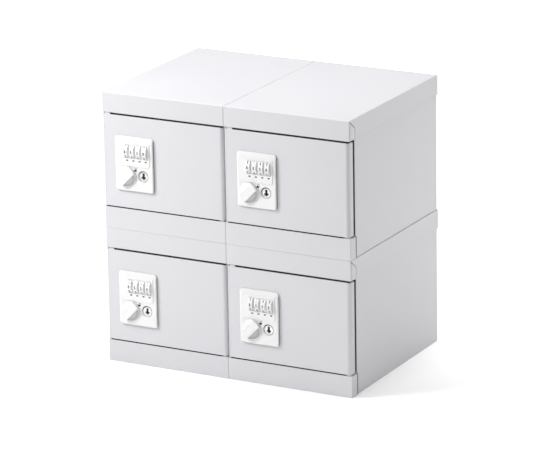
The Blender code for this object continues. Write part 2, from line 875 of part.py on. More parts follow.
def place(name, mesh, paint, location, parent=None):
    """One named piece, at a point in its parent's frame or, without one, in the block's."""
    made = bpy.data.objects.new(name, mesh)
    if not mesh.materials:
        mesh.materials.append(paint)
    made.parent = parent
    made.location = location
    lockers.objects.link(made)
    return made


clear_scene()
lockers = new_collection("box_lockers")
cutters = new_collection("cutters")

white_paint = new_material("white_paint", (0.80, 0.80, 0.81), 0.45, 0)
white_plastic = new_material("white_plastic", (0.88, 0.88, 0.88), 0.28, 0)
dark_plastic = new_material("dark_plastic", (0.10, 0.10, 0.11), 0.5, 0)
steel = new_material("steel", (0.62, 0.62, 0.63), 0.32, 1)

ORIGIN = Vector((0, 0, 0))
HINGE = Vector((HINGE_X, HINGE_Y, 0))

# Pieces that stay with the cabinet, then those on the door, then those that turn in the lock
FIXED = {
    "cabinet": (*pivoted(cabinet(), ORIGIN), white_paint),
    "cap": (*pivoted(cap(), ORIGIN), white_paint),
    "rail": (*pivoted(rail(), ORIGIN), white_paint),
}
ON_DOOR = {
    "door": (*pivoted(door(), HINGE), white_paint),
    "hinge_pin": (*pivoted(hinge_pin(), HINGE), steel),
    "lock_plate": (*pivoted(lock_plate(), ORIGIN, LOCK_FACING), white_plastic),
    "lock_case": (*pivoted(lock_case(), ORIGIN, LOCK_FACING), dark_plastic),
    "dial_axle": (*pivoted(dial_axle(), ORIGIN, LOCK_FACING), steel),
    "turn_knob": (*pivoted(turn_knob(), knob_place(0), LOCK_FACING), white_plastic),
    "latch_cam": (*pivoted(latch_cam(), knob_place(0), LOCK_FACING), steel),
    "key_plug": (*pivoted(key_plug(), key_place(0), LOCK_FACING), steel),
}
DIAL_MESH, _ = pivoted(dial(), ORIGIN, LOCK_FACING.to_3x3().to_4x4())

BLOCK_WIDTH = len(COLUMNS) * UNIT_WIDTH + (len(COLUMNS) - 1) * COLUMN_GAP
# The knobs and dials stand out in front, so the middle of the depth lies ahead of the cabinets' own
BLOCK_MIDDLE = Vector((BLOCK_WIDTH / 2, (UNIT_DEPTH - LOCK_REACH) / 2, 0))

for across, column in enumerate(COLUMNS):
    for up, row in enumerate(ROWS):
        corner = Vector((across * (UNIT_WIDTH + COLUMN_GAP), 0, up * (UNIT_HEIGHT + ROW_GAP)))
        corner -= BLOCK_MIDDLE
        tag = f"{row}_{column}"
        hinge = bpy.data.objects.new(f"hinge_axis_{tag}", None)
        hinge.location = corner + HINGE
        lockers.objects.link(hinge)
        for piece, (mesh, pivot, paint) in FIXED.items():
            place(f"{piece}_{tag}", mesh, paint, corner + pivot)
        for piece, (mesh, pivot, paint) in ON_DOOR.items():
            place(f"{piece}_{tag}", mesh, paint, pivot - HINGE, hinge)
        for number in range(DIALS):
            pivot = LOCK_FACING @ dial_place(number)
            place(f"dial_{number + 1}_{tag}", DIAL_MESH, white_plastic, pivot - HINGE, hinge)
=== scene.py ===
"""Looks for a block of four steel box lockers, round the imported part.

The four lockers are alike, so each piece is made once, in one locker's own frame, and copied to the
lockers. Sizes are in millimetres there: x to the right, y to the back and z up, from the locker's
front lower left corner.
"""

import math

import bmesh
import bpy
from mathutils import Matrix, Vector


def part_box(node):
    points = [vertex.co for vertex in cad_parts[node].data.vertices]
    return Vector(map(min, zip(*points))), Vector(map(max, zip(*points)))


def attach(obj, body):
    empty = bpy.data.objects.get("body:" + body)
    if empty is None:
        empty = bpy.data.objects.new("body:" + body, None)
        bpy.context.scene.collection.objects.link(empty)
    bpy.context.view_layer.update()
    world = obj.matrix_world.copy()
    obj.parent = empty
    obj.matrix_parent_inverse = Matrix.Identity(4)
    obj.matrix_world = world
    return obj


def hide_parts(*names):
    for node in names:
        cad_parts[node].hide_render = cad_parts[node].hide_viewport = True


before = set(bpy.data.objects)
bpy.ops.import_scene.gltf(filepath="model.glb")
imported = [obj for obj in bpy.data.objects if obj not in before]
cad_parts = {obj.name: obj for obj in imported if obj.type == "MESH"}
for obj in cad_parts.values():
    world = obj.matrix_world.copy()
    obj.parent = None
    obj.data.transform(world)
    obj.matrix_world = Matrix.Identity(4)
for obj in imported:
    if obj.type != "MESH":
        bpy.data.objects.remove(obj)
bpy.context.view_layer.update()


# Cabinets. The real body is 1 mm steel sheet, folded into a box and spot-welded, with a frame turned
# in round the front opening and a rim round the open top. All of it is powder coated white, which
# dries to a satin skin with a fine orange peel.

MM = 0.001
LOCKERS = ("lower_left", "lower_right", "upper_left", "upper_right")
WIDTH, DEPTH, HEIGHT = 200, 286, 204
RAIL_TOP, CAP_FOOT = 32, 174
CORNERS = {tag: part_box(f"cap_{tag}")[0] - Vector((0, 0, CAP_FOOT * MM)) for tag in LOCKERS}
WAYS = {
    "left": Vector((-1, 0, 0)),
    "right": Vector((1, 0, 0)),
    "front": Vector((0, -1, 0)),
    "back": Vector((0, 1, 0)),
    "down": Vector((0, 0, -1)),
    "up": Vector((0, 0, 1)),
}
SHEET = 1
FOLD, FOOT_FOLD = 1.5, 0.2
OVERRUN = 2
CABINET_LOW, CABINET_HIGH = (1.3, 18, 0), (198.7, 284.7, 202.7)
FRAME_WIDTH, FRAME_HEAD = 16, 172
RIM_WIDTH = 12
BEHIND_FRONT = (16, 20)
SMOOTH_ANGLE = 32


def cube(name, low, high, turn=(0, 0, 0)):
    """A cube between two corners, turned about its own middle."""
    bpy.ops.object.select_all(action="DESELECT")
    low, high = Vector(low) * MM, Vector(high) * MM
    bpy.ops.mesh.primitive_cube_add(
        size=1, location=(low + high) / 2, rotation=turn, scale=high - low
    )
    bpy.ops.object.transform_apply(location=True, rotation=True, scale=True)
    bpy.context.object.name = name
    return bpy.context.object


def taken(piece):
    """Makes a piece the only one selected."""
    bpy.ops.object.select_all(action="DESELECT")
    bpy.context.view_layer.objects.active = piece
    piece.select_set(True)
    return piece


def opened(piece, kind, pick):
    """Opens a piece in edit mode, with the points, edges or faces that pick says yes to selected."""
    taken(piece)
    bpy.ops.object.mode_set(mode="EDIT")
    bpy.ops.mesh.select_mode(type=kind)
    bpy.ops.mesh.select_all(action="DESELECT")
    shape = bmesh.from_edit_mesh(piece.data)
    shape.normal_update()
    parts = {"VERT": shape.verts, "EDGE": shape.edges, "FACE": shape.faces}[kind]
    for part in [part for part in parts if pick(part)]:
        part.select_set(True)
    shape.select_flush_mode()
    bmesh.update_edit_mesh(piece.data)


def shut(piece):
    """Leaves edit mode."""
    bpy.ops.object.mode_set(mode="OBJECT")
    return piece


def rounded(piece, pick, radius, steps):
    """Rounds the edges that pick says yes to."""
    opened(piece, "EDGE", pick)
    bpy.ops.mesh.bevel(offset=radius * MM, segments=steps, profile=0.5, affect="EDGES")
    return shut(piece)


def lies(part, **where):
    """Whether all points of an edge or a face have the given coordinates, in millimetres."""
    return all(
        abs(point.co["xyz".index(axis)] / MM - value) < 0.01
        for point in part.verts
        for axis, value in where.items()
    )


def at(**where):
    """A pick of the edges that have the given coordinates."""
    return lambda edge: lies(edge, **where)


def folds(*pairs):
    """A pick of the edges between two sides of a box, each pair named like "left front"."""

    def pick(edge):
        if len(edge.link_faces) != 2:
            return False
        one, other = (face.normal for face in edge.link_faces)
        for pair in pairs:
            first, second = (WAYS[way] for way in pair.split())
            if max(one.dot(first) + other.dot(second), other.dot(first) + one.dot(second)) > 1.99:
                return True
        return False

    return pick


UPRIGHTS = folds("left front", "left back", "right front", "right back")


def changed(piece, kind, **settings):
    """Adds a modifier to a piece and applies it."""
    taken(piece)
    change = piece.modifiers.new(kind, kind)
    for name, value in settings.items():
        setattr(change, name, value)
    bpy.ops.object.modifier_apply(modifier=change.name)
    return piece


def cut(piece, *tools):
    """Cuts other shapes out of a piece."""
    for tool in tools:
        changed(piece, "BOOLEAN", object=tool, operation="DIFFERENCE", solver="EXACT")
        bpy.data.objects.remove(tool)
    return piece


def walled(piece, thickness):
    """Turns a closed shape into a wall that follows its outside."""
    return changed(piece, "SOLIDIFY", thickness=thickness * MM, offset=-1, use_even_offset=True)


def smoothed(piece):
    """Shades round parts smooth and keeps flats flat and edges crisp."""
    taken(piece)
    bpy.ops.object.shade_smooth_by_angle(angle=math.radians(SMOOTH_ANGLE))
    return changed(piece, "WEIGHTED_NORMAL", keep_sharp=True, weight=100)


def fitted(piece, finish, body, node=None, lockers=LOCKERS):
    """Gives a piece its finish and copies it to the lockers, onto a body of each, in place of a node."""
    smoothed(piece)
    piece.data.materials.clear()
    piece.data.materials.append(finish)
    for tag in lockers:
        made = piece.copy()
        made.data = piece.data.copy()
        made.data.transform(Matrix.Translation(CORNERS[tag]))
        made.name = made.data.name = f"{piece.name}_{tag}"
        bpy.context.collection.objects.link(made)
        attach(made, body.format(tag=tag))
        if node:
            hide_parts(f"{node}_{tag}")
    bpy.data.objects.remove(piece)


class Wire:
    """A socket of a finish. Sums and products of wires and numbers add Math nodes."""

    def __init__(self, finish, socket):
        self.finish, self.socket = finish, socket

    def maths(self, operation, other):
        return self.finish.node("Math", {"operation": operation}, {0: self, 1: other})

    def __add__(self, other):
        return self.maths("ADD", other)

    def __mul__(self, other):
        return self.maths("MULTIPLY", other)

    __radd__, __rmul__ = __add__, __mul__


class Finish:
    """A material, wired node by node."""

    def __init__(self, name):
        self.material = bpy.data.materials.new(name)
        self.material.use_nodes = True
        self.tree = self.material.node_tree
        self.tree.nodes.clear()

    def node(self, kind, settings=None, sockets=None, outlet=0):
        """Adds a node, sets it, then gives its sockets their values or wires."""
        made = self.tree.nodes.new("ShaderNode" + kind)
        for name, value in (settings or {}).items():
            setattr(made, name, value)
        for name, value in (sockets or {}).items():
            if isinstance(value, Wire):
                self.tree.links.new(value.socket, made.inputs[name])
            else:
                made.inputs[name].default_value = value
        return Wire(self, made.outputs[outlet]) if made.outputs else None

    def place(self):
        """Where a point lies on its object, in metres."""
        return self.node("TexCoord", outlet="Object")

    def noise(self, place, scale, detail=2.0):
        return self.node("TexNoise", None, {"Vector": place, "Scale": scale, "Detail": detail})

    def vector_maths(self, operation, one, other=(0, 0, 0), outlet="Value"):
        return self.node("VectorMath", {"operation": operation}, {0: one, 1: other}, outlet)

    def blend(self, share, one, other):
        """A colour between two, by a share."""
        return self.node(
            "Mix", {"data_type": "RGBA"}, {0: share, 6: (*one, 1), 7: (*other, 1)}, outlet=2
        )

    def relief(self, height, depth):
        """A normal that shows a height from 0 to 1, as deep as depth in millimetres."""
        return self.node("Bump", None, {"Height": height, "Distance": depth * MM, "Strength": 1.0})

    def surface(self, **sockets):
        named = {name.replace("_", " "): value for name, value in sockets.items()}
        shader = self.node("BsdfPrincipled", None, named)
        self.node("OutputMaterial", None, {"Surface": shader})
        return self.material


coat = Finish("white_powder_coat")
coat_place = coat.place()
coat_cloud = coat.noise(coat_place, 7.0)
coat_peel = coat.noise(coat_place, 420.0, 3.0)
coat_grit = coat.noise(coat_place, 2600.0, 1.0)
POWDER_COAT = coat.surface(
    Base_Color=coat.blend(coat_cloud, (0.632, 0.628, 0.652), (0.658, 0.655, 0.677)),
    Roughness=0.34 + 0.1 * coat_cloud + 0.06 * coat_grit,
    Normal=coat.relief(0.8 * coat_peel + 0.2 * coat_grit, 0.03),
)

left, front, foot = CABINET_LOW
right, back, top = CABINET_HIGH
cabinet = cube("cabinet_box", CABINET_LOW, CABINET_HIGH)
rounded(cabinet, UPRIGHTS, FOLD, 4)
rounded(cabinet, at(z=foot), FOOT_FOLD, 2)
walled(cabinet, SHEET)
cut(
    cabinet,
    cube(
        "front_opening",
        (left + FRAME_WIDTH, BEHIND_FRONT[0], RAIL_TOP),
        (right - FRAME_WIDTH, BEHIND_FRONT[1], FRAME_HEAD),
    ),
    cube(
        "top_opening",
        (left + RIM_WIDTH, front + RIM_WIDTH, top - OVERRUN),
        (right - RIM_WIDTH, back - RIM_WIDTH, top + OVERRUN),
    ),
)
fitted(cabinet, POWDER_COAT, "cabinets", "cabinet")


# Caps. Each is a lid folded from one sheet, with flanges down all round and a channel turned under
# the front. At each front corner the sheet's ear is let in with a mitre seam, and two plain seams.

HINGE = (193, 6)
HINGE_HOLE, HOLE_RISE = 2.3, 3
LID_FOOT = CAP_FOOT + 0.3
LID_FOLD, TOP_FOLD, LIP_FOLD = 1, 0.9, 0.4
CHANNEL_BACK, CHANNEL_CUT = 17.1, 1.2
SEAM_DEPTH = 1.3
MITRE_HEAD, MITRE_FOOT = (1, 203), (17.5, 190)
MITRE_WIDTH = 1.1
EAR_SEAM = (17, CAP_FOOT - OVERRUN), (18, MITRE_FOOT[1])
CORNER_SEAM = (2, 176), (2.9, 201)


def cylinder(name, radius, foot, head, sides=48):
    """A cylinder from one point to another."""
    bpy.ops.object.select_all(action="DESELECT")
    foot, head = Vector(foot) * MM, Vector(head) * MM
    bpy.ops.mesh.primitive_cylinder_add(
        vertices=sides,
        radius=radius * MM,
        depth=(head - foot).length,
        location=(foot + head) / 2,
        rotation=(head - foot).to_track_quat("Z", "Y").to_euler(),
    )
    bpy.ops.object.transform_apply(location=True, rotation=True, scale=False)
    bpy.context.object.name = name
    return bpy.context.object


cap = cube("cap_lid", (0, 0, LID_FOOT), (WIDTH, DEPTH, HEIGHT))
rounded(cap, UPRIGHTS, LID_FOLD, 4)
rounded(cap, at(z=HEIGHT), TOP_FOLD, 4)
rounded(cap, at(z=LID_FOOT), LIP_FOLD, 3)
walled(cap, SHEET)
# The underside's cutter lies flush with the inner walls, and the Boolean drops them: the lid comes
# out solid, with a blind pivot hole.
cut(
    cap,
    cube(
        "underside",
        (SHEET, CHANNEL_BACK, CAP_FOOT - OVERRUN),
        (WIDTH - SHEET, DEPTH - SHEET, LID_FOOT + CHANNEL_CUT),
    ),
    cylinder("pivot_hole", HINGE_HOLE, (*HINGE, CAP_FOOT - OVERRUN), (*HINGE, CAP_FOOT + HOLE_RISE)),
)
mitre_run = Vector(MITRE_FOOT) - Vector(MITRE_HEAD)
mitre_middle = (Vector(MITRE_FOOT) + Vector(MITRE_HEAD)) / 2
mitre_reach = Vector((mitre_run.length, MITRE_WIDTH)) / 2
for low_x, high_x in ((-OVERRUN, SEAM_DEPTH), (WIDTH - SEAM_DEPTH, WIDTH + OVERRUN)):
    cut(
        cap,
        cube(
            "mitre_seam",
            (low_x, *(mitre_middle - mitre_reach)),
            (high_x, *(mitre_middle + mitre_reach)),
            turn=(math.atan2(mitre_run.y, mitre_run.x), 0, 0),
        ),
        cube("ear_seam", (low_x, *EAR_SEAM[0]), (high_x, *EAR_SEAM[1])),
        cube("corner_seam", (low_x, *CORNER_SEAM[0]), (high_x, *CORNER_SEAM[1])),
    )
fitted(cap, POWDER_COAT, "cabinets", "cap")


# Spacers and seam strips. Thin white plastic sheets part the rows and the columns, and the one
# between the columns is notched where a door swings past it. Near-black strips under the caps'
# flanges and behind their seams are painted shade, which turns these into dark lines.

ROW_SPACER = (1, 0.8, HEIGHT + 0.03), (199.1, 285.2, HEIGHT + 0.27)
COLUMN_SPACER = (WIDTH + 0.04, 0.6, 0.3), (WIDTH + 0.56, 284.4, 203.4)
DOOR_SWING = (199, 0, 32.5), (202, 4, 173.5)
SPACER_ROUNDING = 0.5
BEAD_OUTSIDE, BEAD_INSIDE = 0.5, 1.25
BEAD_FOOT, BEAD_TOP = CAP_FOOT + 0.12, CAP_FOOT + 0.28
BEAD_FRONT, BEAD_MARGIN = 19.3, 2
STRIPS_X = (1.1, 198.4)
STRIP_LOW, STRIP_HIGH = (1.3, 175.3), (17.9, 202.6)
STRIP_THICKNESS = 0.5

# Painted shade: a near-black finish for the strips, rings and blocks set into gaps, key pockets and
# keyways, which stand in for the shade that falls there.
shade_foam = Finish("black_foam_painted_shade")
foam_cells = shade_foam.noise(shade_foam.place(), 1800.0, 3.0)
BLACK_FOAM_PAINTED_SHADE = shade_foam.surface(
    Base_Color=shade_foam.blend(foam_cells, (0.008, 0.008, 0.009), (0.02, 0.02, 0.022)),
    Roughness=0.8 + 0.15 * foam_cells,
    Normal=shade_foam.relief(foam_cells, 0.15),
)

row_spacer = cube("row_spacer", *ROW_SPACER)
rounded(row_spacer, UPRIGHTS, SPACER_ROUNDING, 3)
fitted(row_spacer, POWDER_COAT, "cabinets", lockers=("lower_left", "lower_right"))

column_spacer = cube("column_spacer", *COLUMN_SPACER)
rounded(column_spacer, folds("front up", "front down", "back up", "back down"), SPACER_ROUNDING, 3)
cut(column_spacer, cube("door_swing", *DOOR_SWING))
fitted(column_spacer, POWDER_COAT, "cabinets", lockers=("lower_left", "upper_left"))

# Painted shade: near-black beads under the caps' side and back flanges, for the dark line below each
# flange.
for side, low, high in (
    ("left", (BEAD_OUTSIDE, BEAD_FRONT), (BEAD_INSIDE, DEPTH - BEAD_MARGIN)),
    ("right", (WIDTH - BEAD_INSIDE, BEAD_FRONT), (WIDTH - BEAD_OUTSIDE, DEPTH - BEAD_MARGIN)),
    ("back", (BEAD_MARGIN, DEPTH - BEAD_INSIDE), (WIDTH - BEAD_MARGIN, DEPTH - BEAD_OUTSIDE)),
):
    shade_bead = cube(f"flange_bead_{side}", (*low, BEAD_FOOT), (*high, BEAD_TOP))
    fitted(shade_bead, BLACK_FOAM_PAINTED_SHADE, "cabinets")
# Painted shade: near-black strips behind the seams at the caps' front corners, so that the seams read as
# dark lines.
for side, low_x in zip(("left", "right"), STRIPS_X):
    strip = cube(
        f"seam_strip_{side}", (low_x, *STRIP_LOW), (low_x + STRIP_THICKNESS, *STRIP_HIGH)
    )
    fitted(strip, BLACK_FOAM_PAINTED_SHADE, "cabinets")


# Bottom rails. Each is a channel of coated sheet under the door, with its ends folded back to just
# short of the cabinet. A white jamb stands on its left end, left of the door. Near-black strips lie
# on the rail, and in the gaps between its ends and the cabinet, as painted shade in those gaps.

RAIL_BACK, END_BACK = 17.7, 16.6
RAIL_FOLD, FRONT_FOLD = 1, 0.5
JAMB = (0.4, 1.5, 32.1), (2.9, 17.95, 173.9)
JAMB_ROUNDING = 0.6
RAIL_SHADE_STRIP = (3.8, 0.9, 31.9), (188, 15, 33.5)
SHADE_STRIP_ROUNDING = 0.2
END_SHADE_STRIPS_X = (0.1, 198.75)
END_SHADE_STRIP_LOW, END_SHADE_STRIP_HIGH = (16.62, 0.3), (19.2, 31.8)
END_SHADE_STRIP_THICKNESS, END_SHADE_STRIP_ROUNDING = 1.15, 0.3

rail = cube("bottom_rail", (0, 0, 0), (WIDTH, RAIL_BACK, RAIL_TOP))
rounded(rail, folds("front left", "front right", "up left", "up right"), RAIL_FOLD, 4)
rounded(
    rail, lambda edge: lies(edge, y=0, z=0) or lies(edge, y=0, z=RAIL_TOP), FRONT_FOLD, 3
)
walled(rail, SHEET)
# As in the cap, a cutter flush with the inner walls makes the Boolean drop them: the rail comes out
# solid.
cut(
    rail,
    cube(
        "open_back",
        (SHEET, BEHIND_FRONT[0], SHEET),
        (WIDTH - SHEET, BEHIND_FRONT[1], RAIL_TOP - SHEET),
    ),
    cube("left_end", (-FOLD, END_BACK, -OVERRUN), (FOLD, BEHIND_FRONT[1], RAIL_TOP + OVERRUN)),
    cube(
        "right_end",
        (WIDTH - FOLD, END_BACK, -OVERRUN),
        (WIDTH + FOLD, BEHIND_FRONT[1], RAIL_TOP + OVERRUN),
    ),
)
fitted(rail, POWDER_COAT, "cabinets", "rail")

jamb = cube("side_jamb", *JAMB)
rounded(jamb, folds("left front", "right front"), JAMB_ROUNDING, 3)
fitted(jamb, POWDER_COAT, "cabinets")

# Painted shade: a near-black strip on the rail, so that the gap under the door reads dark.
rail_shade_strip = cube("rail_shade_strip", *RAIL_SHADE_STRIP)
rounded(rail_shade_strip, at(z=RAIL_SHADE_STRIP[1][2]), SHADE_STRIP_ROUNDING, 2)
fitted(rail_shade_strip, BLACK_FOAM_PAINTED_SHADE, "cabinets")

# Painted shade: near-black strips in the gaps between the rail's ends and the cabinet.
for side, low_x in zip(("left", "right"), END_SHADE_STRIPS_X):
    end_shade_strip = cube(
        f"rail_end_tape_{side}",
        (low_x, *END_SHADE_STRIP_LOW),
        (low_x + END_SHADE_STRIP_THICKNESS, *END_SHADE_STRIP_HIGH),
    )
    rounded(end_shade_strip, UPRIGHTS, END_SHADE_STRIP_ROUNDING, 2)
    fitted(end_shade_strip, BLACK_FOAM_PAINTED_SHADE, "cabinets")


# Foot studs. A steel collar with a round pin on it stands on each rail, under the door's hinge edge.
# It is turned from bar and zinc-plated, and pressed into the rail.

COLLAR_RADIUS, COLLAR_THICKNESS = 4, 2
PIN_RADIUS, PIN_ROUNDING = 2, 0.5
STUD_FOOT, STUD_RISE = 31.5, 5.3


def spread(piece, pick, inset, rise):
    """Insets the picked face and draws the inner face out along z."""
    opened(piece, "FACE", pick)
    bpy.ops.mesh.inset(thickness=inset * MM, depth=0)
    bpy.ops.mesh.extrude_region_move(TRANSFORM_OT_translate={"value": (0, 0, rise * MM)})
    return shut(piece)


def looks(face, way):
    """Whether a face looks straight one way."""
    return face.normal.dot(WAYS[way]) > 0.99


def turning_marks(piece, centre):
    """Keeps how far each point lies from the piece's axis, for the marks that a lathe leaves."""
    marks = piece.data.attributes.new("from_axis", "FLOAT_VECTOR", "POINT")
    for point, mark in zip(piece.data.vertices, marks.data):
        mark.vector = point.co / MM - Vector(centre)
    return piece


def from_axis(finish):
    """The way from the piece's axis to a point, and its length across that axis."""
    way = finish.node(
        "Attribute", {"attribute_name": "from_axis", "attribute_type": "GEOMETRY"}, outlet="Vector"
    )
    across = finish.vector_maths("MULTIPLY", way, (1, 1, 0), outlet="Vector")
    return way, finish.vector_maths("LENGTH", across)


def pivot(name, foot, rise):
    """A turned pivot on the hinge's axis: a collar, and a pin that rises from it."""
    collar_top = foot + COLLAR_THICKNESS
    made = cylinder(name, COLLAR_RADIUS, (*HINGE, foot), (*HINGE, collar_top))
    spread(made, lambda face: looks(face, "up"), COLLAR_RADIUS - PIN_RADIUS, rise)
    rounded(made, at(z=collar_top + rise), PIN_ROUNDING, 3)
    return turning_marks(made, (*HINGE, 0))


turned = Finish("turned_zinc_plated_steel")
turned_rings = turned.node(
    "TexNoise",
    {"noise_dimensions": "1D"},
    {"W": from_axis(turned)[1], "Scale": 9.0, "Detail": 3.0},
)
turned_bloom = turned.noise(turned.place(), 300.0)
TURNED_STEEL = turned.surface(
    Base_Color=turned.blend(turned_bloom, (0.60, 0.60, 0.61), (0.72, 0.72, 0.73)),
    Metallic=1.0,
    Roughness=0.2 + 0.16 * turned_rings + 0.06 * turned_bloom,
    Normal=turned.relief(turned_rings, 0.01),
)

fitted(pivot("foot_stud", STUD_FOOT, STUD_RISE), TURNED_STEEL, "cabinets")


# Doors. Each is a pan of the same coated sheet with a lip round its back. Its right edge is rounded
# about the pivot and shallower, so that it turns on the spot.

DOOR_LOW, DOOR_HIGH = (3.5, 0, 33.95), (199, 16.5, 171.45)
PAST_DOOR = (30, 176)
STEP_LEFT, STEP_BACK = 188, 12
DOOR_FOLD = 0.6
BACK_OPENING = (12.5, 15, 42.8), (184, 19, 163)
LOCK_PLACE = (52.2, 0, 101.5)
LOCK_OPENING = (50.2, 66.2)


def door_rim(edge):
    """The front edges of the door's top, foot and left side, and the ends of its hinge edge."""
    middle = (edge.verts[0].co + edge.verts[1].co) / 2 / MM
    level = any(abs(face.normal.z) > 0.5 for face in edge.link_faces)
    return (level and middle.y < STEP_BACK - 0.01) or folds("front left")(edge)


half_width, half_height = LOCK_OPENING[0] / 2, LOCK_OPENING[1] / 2
door = cube("door_pan", DOOR_LOW, DOOR_HIGH)
cut(
    door,
    cube(
        "edge_step",
        (STEP_LEFT, STEP_BACK, PAST_DOOR[0]),
        (WIDTH + OVERRUN, BEHIND_FRONT[1], PAST_DOOR[1]),
    ),
)
rounded(door, folds("front right"), HINGE[1], 14)
rounded(door, door_rim, DOOR_FOLD, 4)
walled(door, SHEET)
cut(
    door,
    cube("pan_back", *BACK_OPENING),
    cube(
        "lock_opening",
        (LOCK_PLACE[0] - half_width, -OVERRUN, LOCK_PLACE[2] - half_height),
        (LOCK_PLACE[0] + half_width, SHEET + OVERRUN, LOCK_PLACE[2] + half_height),
    ),
    cylinder("pivot_holes", HINGE_HOLE, (*HINGE, PAST_DOOR[0]), (*HINGE, PAST_DOOR[1])),
)
fitted(door, POWDER_COAT, "door_{tag}_leaf", "door")


# Door shade strips and bumpers. Near-black strips on each door's top and, at the hinge side, on the
# frame behind it are painted shade in the gaps round the door. A white plastic bumper is stuck on
# the top's left end.

DOOR_SHADE_STRIP = (13.4, 0.6, 171.35), (197.6, 15, 173.8)
HINGE_SHADE_STRIP = (188.8, 12.4, 34.2), (198.5, 17.95, 171.5)
BUMPER = (4.4, 0.9, 171.35), (12.7, 11, 173.6)
BUMPER_ROUNDING = 0.5

# Painted shade: a near-black strip on the door's top, so that the gap above the door reads dark.
door_shade_strip = cube("door_top_shade_strip", *DOOR_SHADE_STRIP)
rounded(door_shade_strip, at(z=DOOR_SHADE_STRIP[1][2]), SHADE_STRIP_ROUNDING, 2)
fitted(door_shade_strip, BLACK_FOAM_PAINTED_SHADE, "door_{tag}_leaf")

# Painted shade: a near-black strip on the frame behind the hinge edge, for the dark gap there.
fitted(cube("hinge_side_shade_strip", *HINGE_SHADE_STRIP), BLACK_FOAM_PAINTED_SHADE, "cabinets")

bumper = cube("door_bumper", *BUMPER)
rounded(bumper, at(z=BUMPER[1][2]), BUMPER_ROUNDING, 3)
fitted(bumper, POWDER_COAT, "door_{tag}_leaf")


# Top pivots. Each is the same turned steel collar and pin as the foot stud, held inside the door, and
# its pin comes up through the door's top into the cap's lip.

TOP_PIVOT_FOOT, TOP_PIVOT_RISE = 168.7, 5.8

top_pivot = pivot("top_pivot", TOP_PIVOT_FOOT, TOP_PIVOT_RISE)
fitted(top_pivot, TURNED_STEEL, "door_{tag}_leaf", "hinge_pin")


# Lock plates. Each is one moulding of glossy white plastic, held from behind the door: a low wall,
# sloping edges, a raised panel with four slots for the wheels, and a round pocket with a ring in it
# for the key plug. The lock's pieces are drawn lying on the door: x right, y up, z out of its front.

LOCK = Matrix.Translation(Vector(LOCK_PLACE) * MM) @ Matrix.Rotation(math.radians(90), 4, "X")
FACE_LOW, FACE_HIGH = (-30.4, -41), (32.4, 40.3)
PLATE_FOOT, PLATE_WAIST, PLATE_TOP = 0.1, 2.3, 4
PLATE_CORNER, PLATE_EDGE, WAIST_EDGE = 4, 0.6, 0.3
SLOPES = (((1, 0), -0.8), ((-1, 0), -2.2), ((0, 1), -6.3), ((0, -1), -1.5))
PANEL_LOW, PANEL_HIGH = (-27.4, -3.2), (27.4, 33.4)
PANEL_FOOT, PANEL_TOP = 2, 4.9
PANEL_WIDE_CORNER, PANEL_CORNER, PANEL_EDGE = 5, 1.5, 0.2
WHEEL_RADIUS, WHEEL_WIDTH = 12.45, 7
WHEEL_AXIS = (19.5, -2.5)
WHEELS_X = (-10.4, -0.1, 10.2, 20.5)
SLOT_SIDE_GAP, SLOT_END_GAP = 0.15, 0.2
KNOB_PLACE = (-10.5, -18.7)
SHAFT_HOLE = 3.3
KEY_PLACE = (16.3, -16.5)
POCKET, POCKET_FLOOR = 8.4, 1.7
RING_PLACE = (KEY_PLACE[0], KEY_PLACE[1] - 0.5)
RING_RADIUS, RING_FOOT, RING_TOP = 7.3, 1.6, 3.5
PLUG_HOLE = 6.5
BELOW_PLATE, ABOVE_PLATE = -1, 8
REBATE, REBATE_MARGIN = 1.5, 2.5
BESIDE_PLATE = (40, 45)


def on_door(piece, place=(0, 0)):
    """Moves a lock piece to its place on the plate, and stands it up on the door's front."""
    piece.data.transform(Matrix.Translation(Vector((*place, 0)) * MM))
    piece.data.transform(LOCK)
    return piece


def united(piece, *others):
    """Joins other shapes to a piece."""
    for other in others:
        changed(piece, "BOOLEAN", object=other, operation="UNION", solver="EXACT")
        bpy.data.objects.remove(other)
    return piece


moulding = Finish("glossy_white_plastic")
moulding_place = moulding.place()
moulding_flow = moulding.noise(moulding_place, 30.0)
moulding_spark = moulding.noise(moulding_place, 3200.0, 1.0)
WHITE_PLASTIC = moulding.surface(
    Base_Color=moulding.blend(moulding_flow, (0.79, 0.79, 0.785), (0.81, 0.81, 0.81)),
    Roughness=0.22 + 0.1 * moulding_flow + 0.05 * moulding_spark,
    Normal=moulding.relief(moulding_spark, 0.004),
)

plate = cube("lock_face", (*FACE_LOW, PLATE_FOOT), (*FACE_HIGH, PLATE_WAIST))
rounded(plate, UPRIGHTS, PLATE_CORNER, 8)
opened(plate, "FACE", lambda face: looks(face, "up"))
rise = (PLATE_TOP - PLATE_WAIST) * MM
bpy.ops.mesh.extrude_region_move(TRANSFORM_OT_translate={"value": (0, 0, rise)})
shut(plate)
half_way = (PLATE_WAIST + PLATE_TOP) / 2 * MM
for way, slope in SLOPES:
    side = Vector((*way, 0))
    opened(plate, "VERT", lambda point: point.co.z > half_way and point.co.dot(side) > 0)
    bpy.ops.transform.translate(value=side * slope * MM)
    shut(plate)
rounded(plate, at(z=PLATE_TOP), PLATE_EDGE, 3)
rounded(plate, at(z=PLATE_WAIST), WAIST_EDGE, 2)

panel = cube("wheel_panel", (*PANEL_LOW, PANEL_FOOT), (*PANEL_HIGH, PANEL_TOP))
rounded(panel, folds("right front"), PANEL_WIDE_CORNER, 8)
rounded(panel, folds("left front", "left back", "right back"), PANEL_CORNER, 4)
rounded(panel, at(z=PANEL_TOP), PANEL_EDGE, 2)
united(plate, panel)

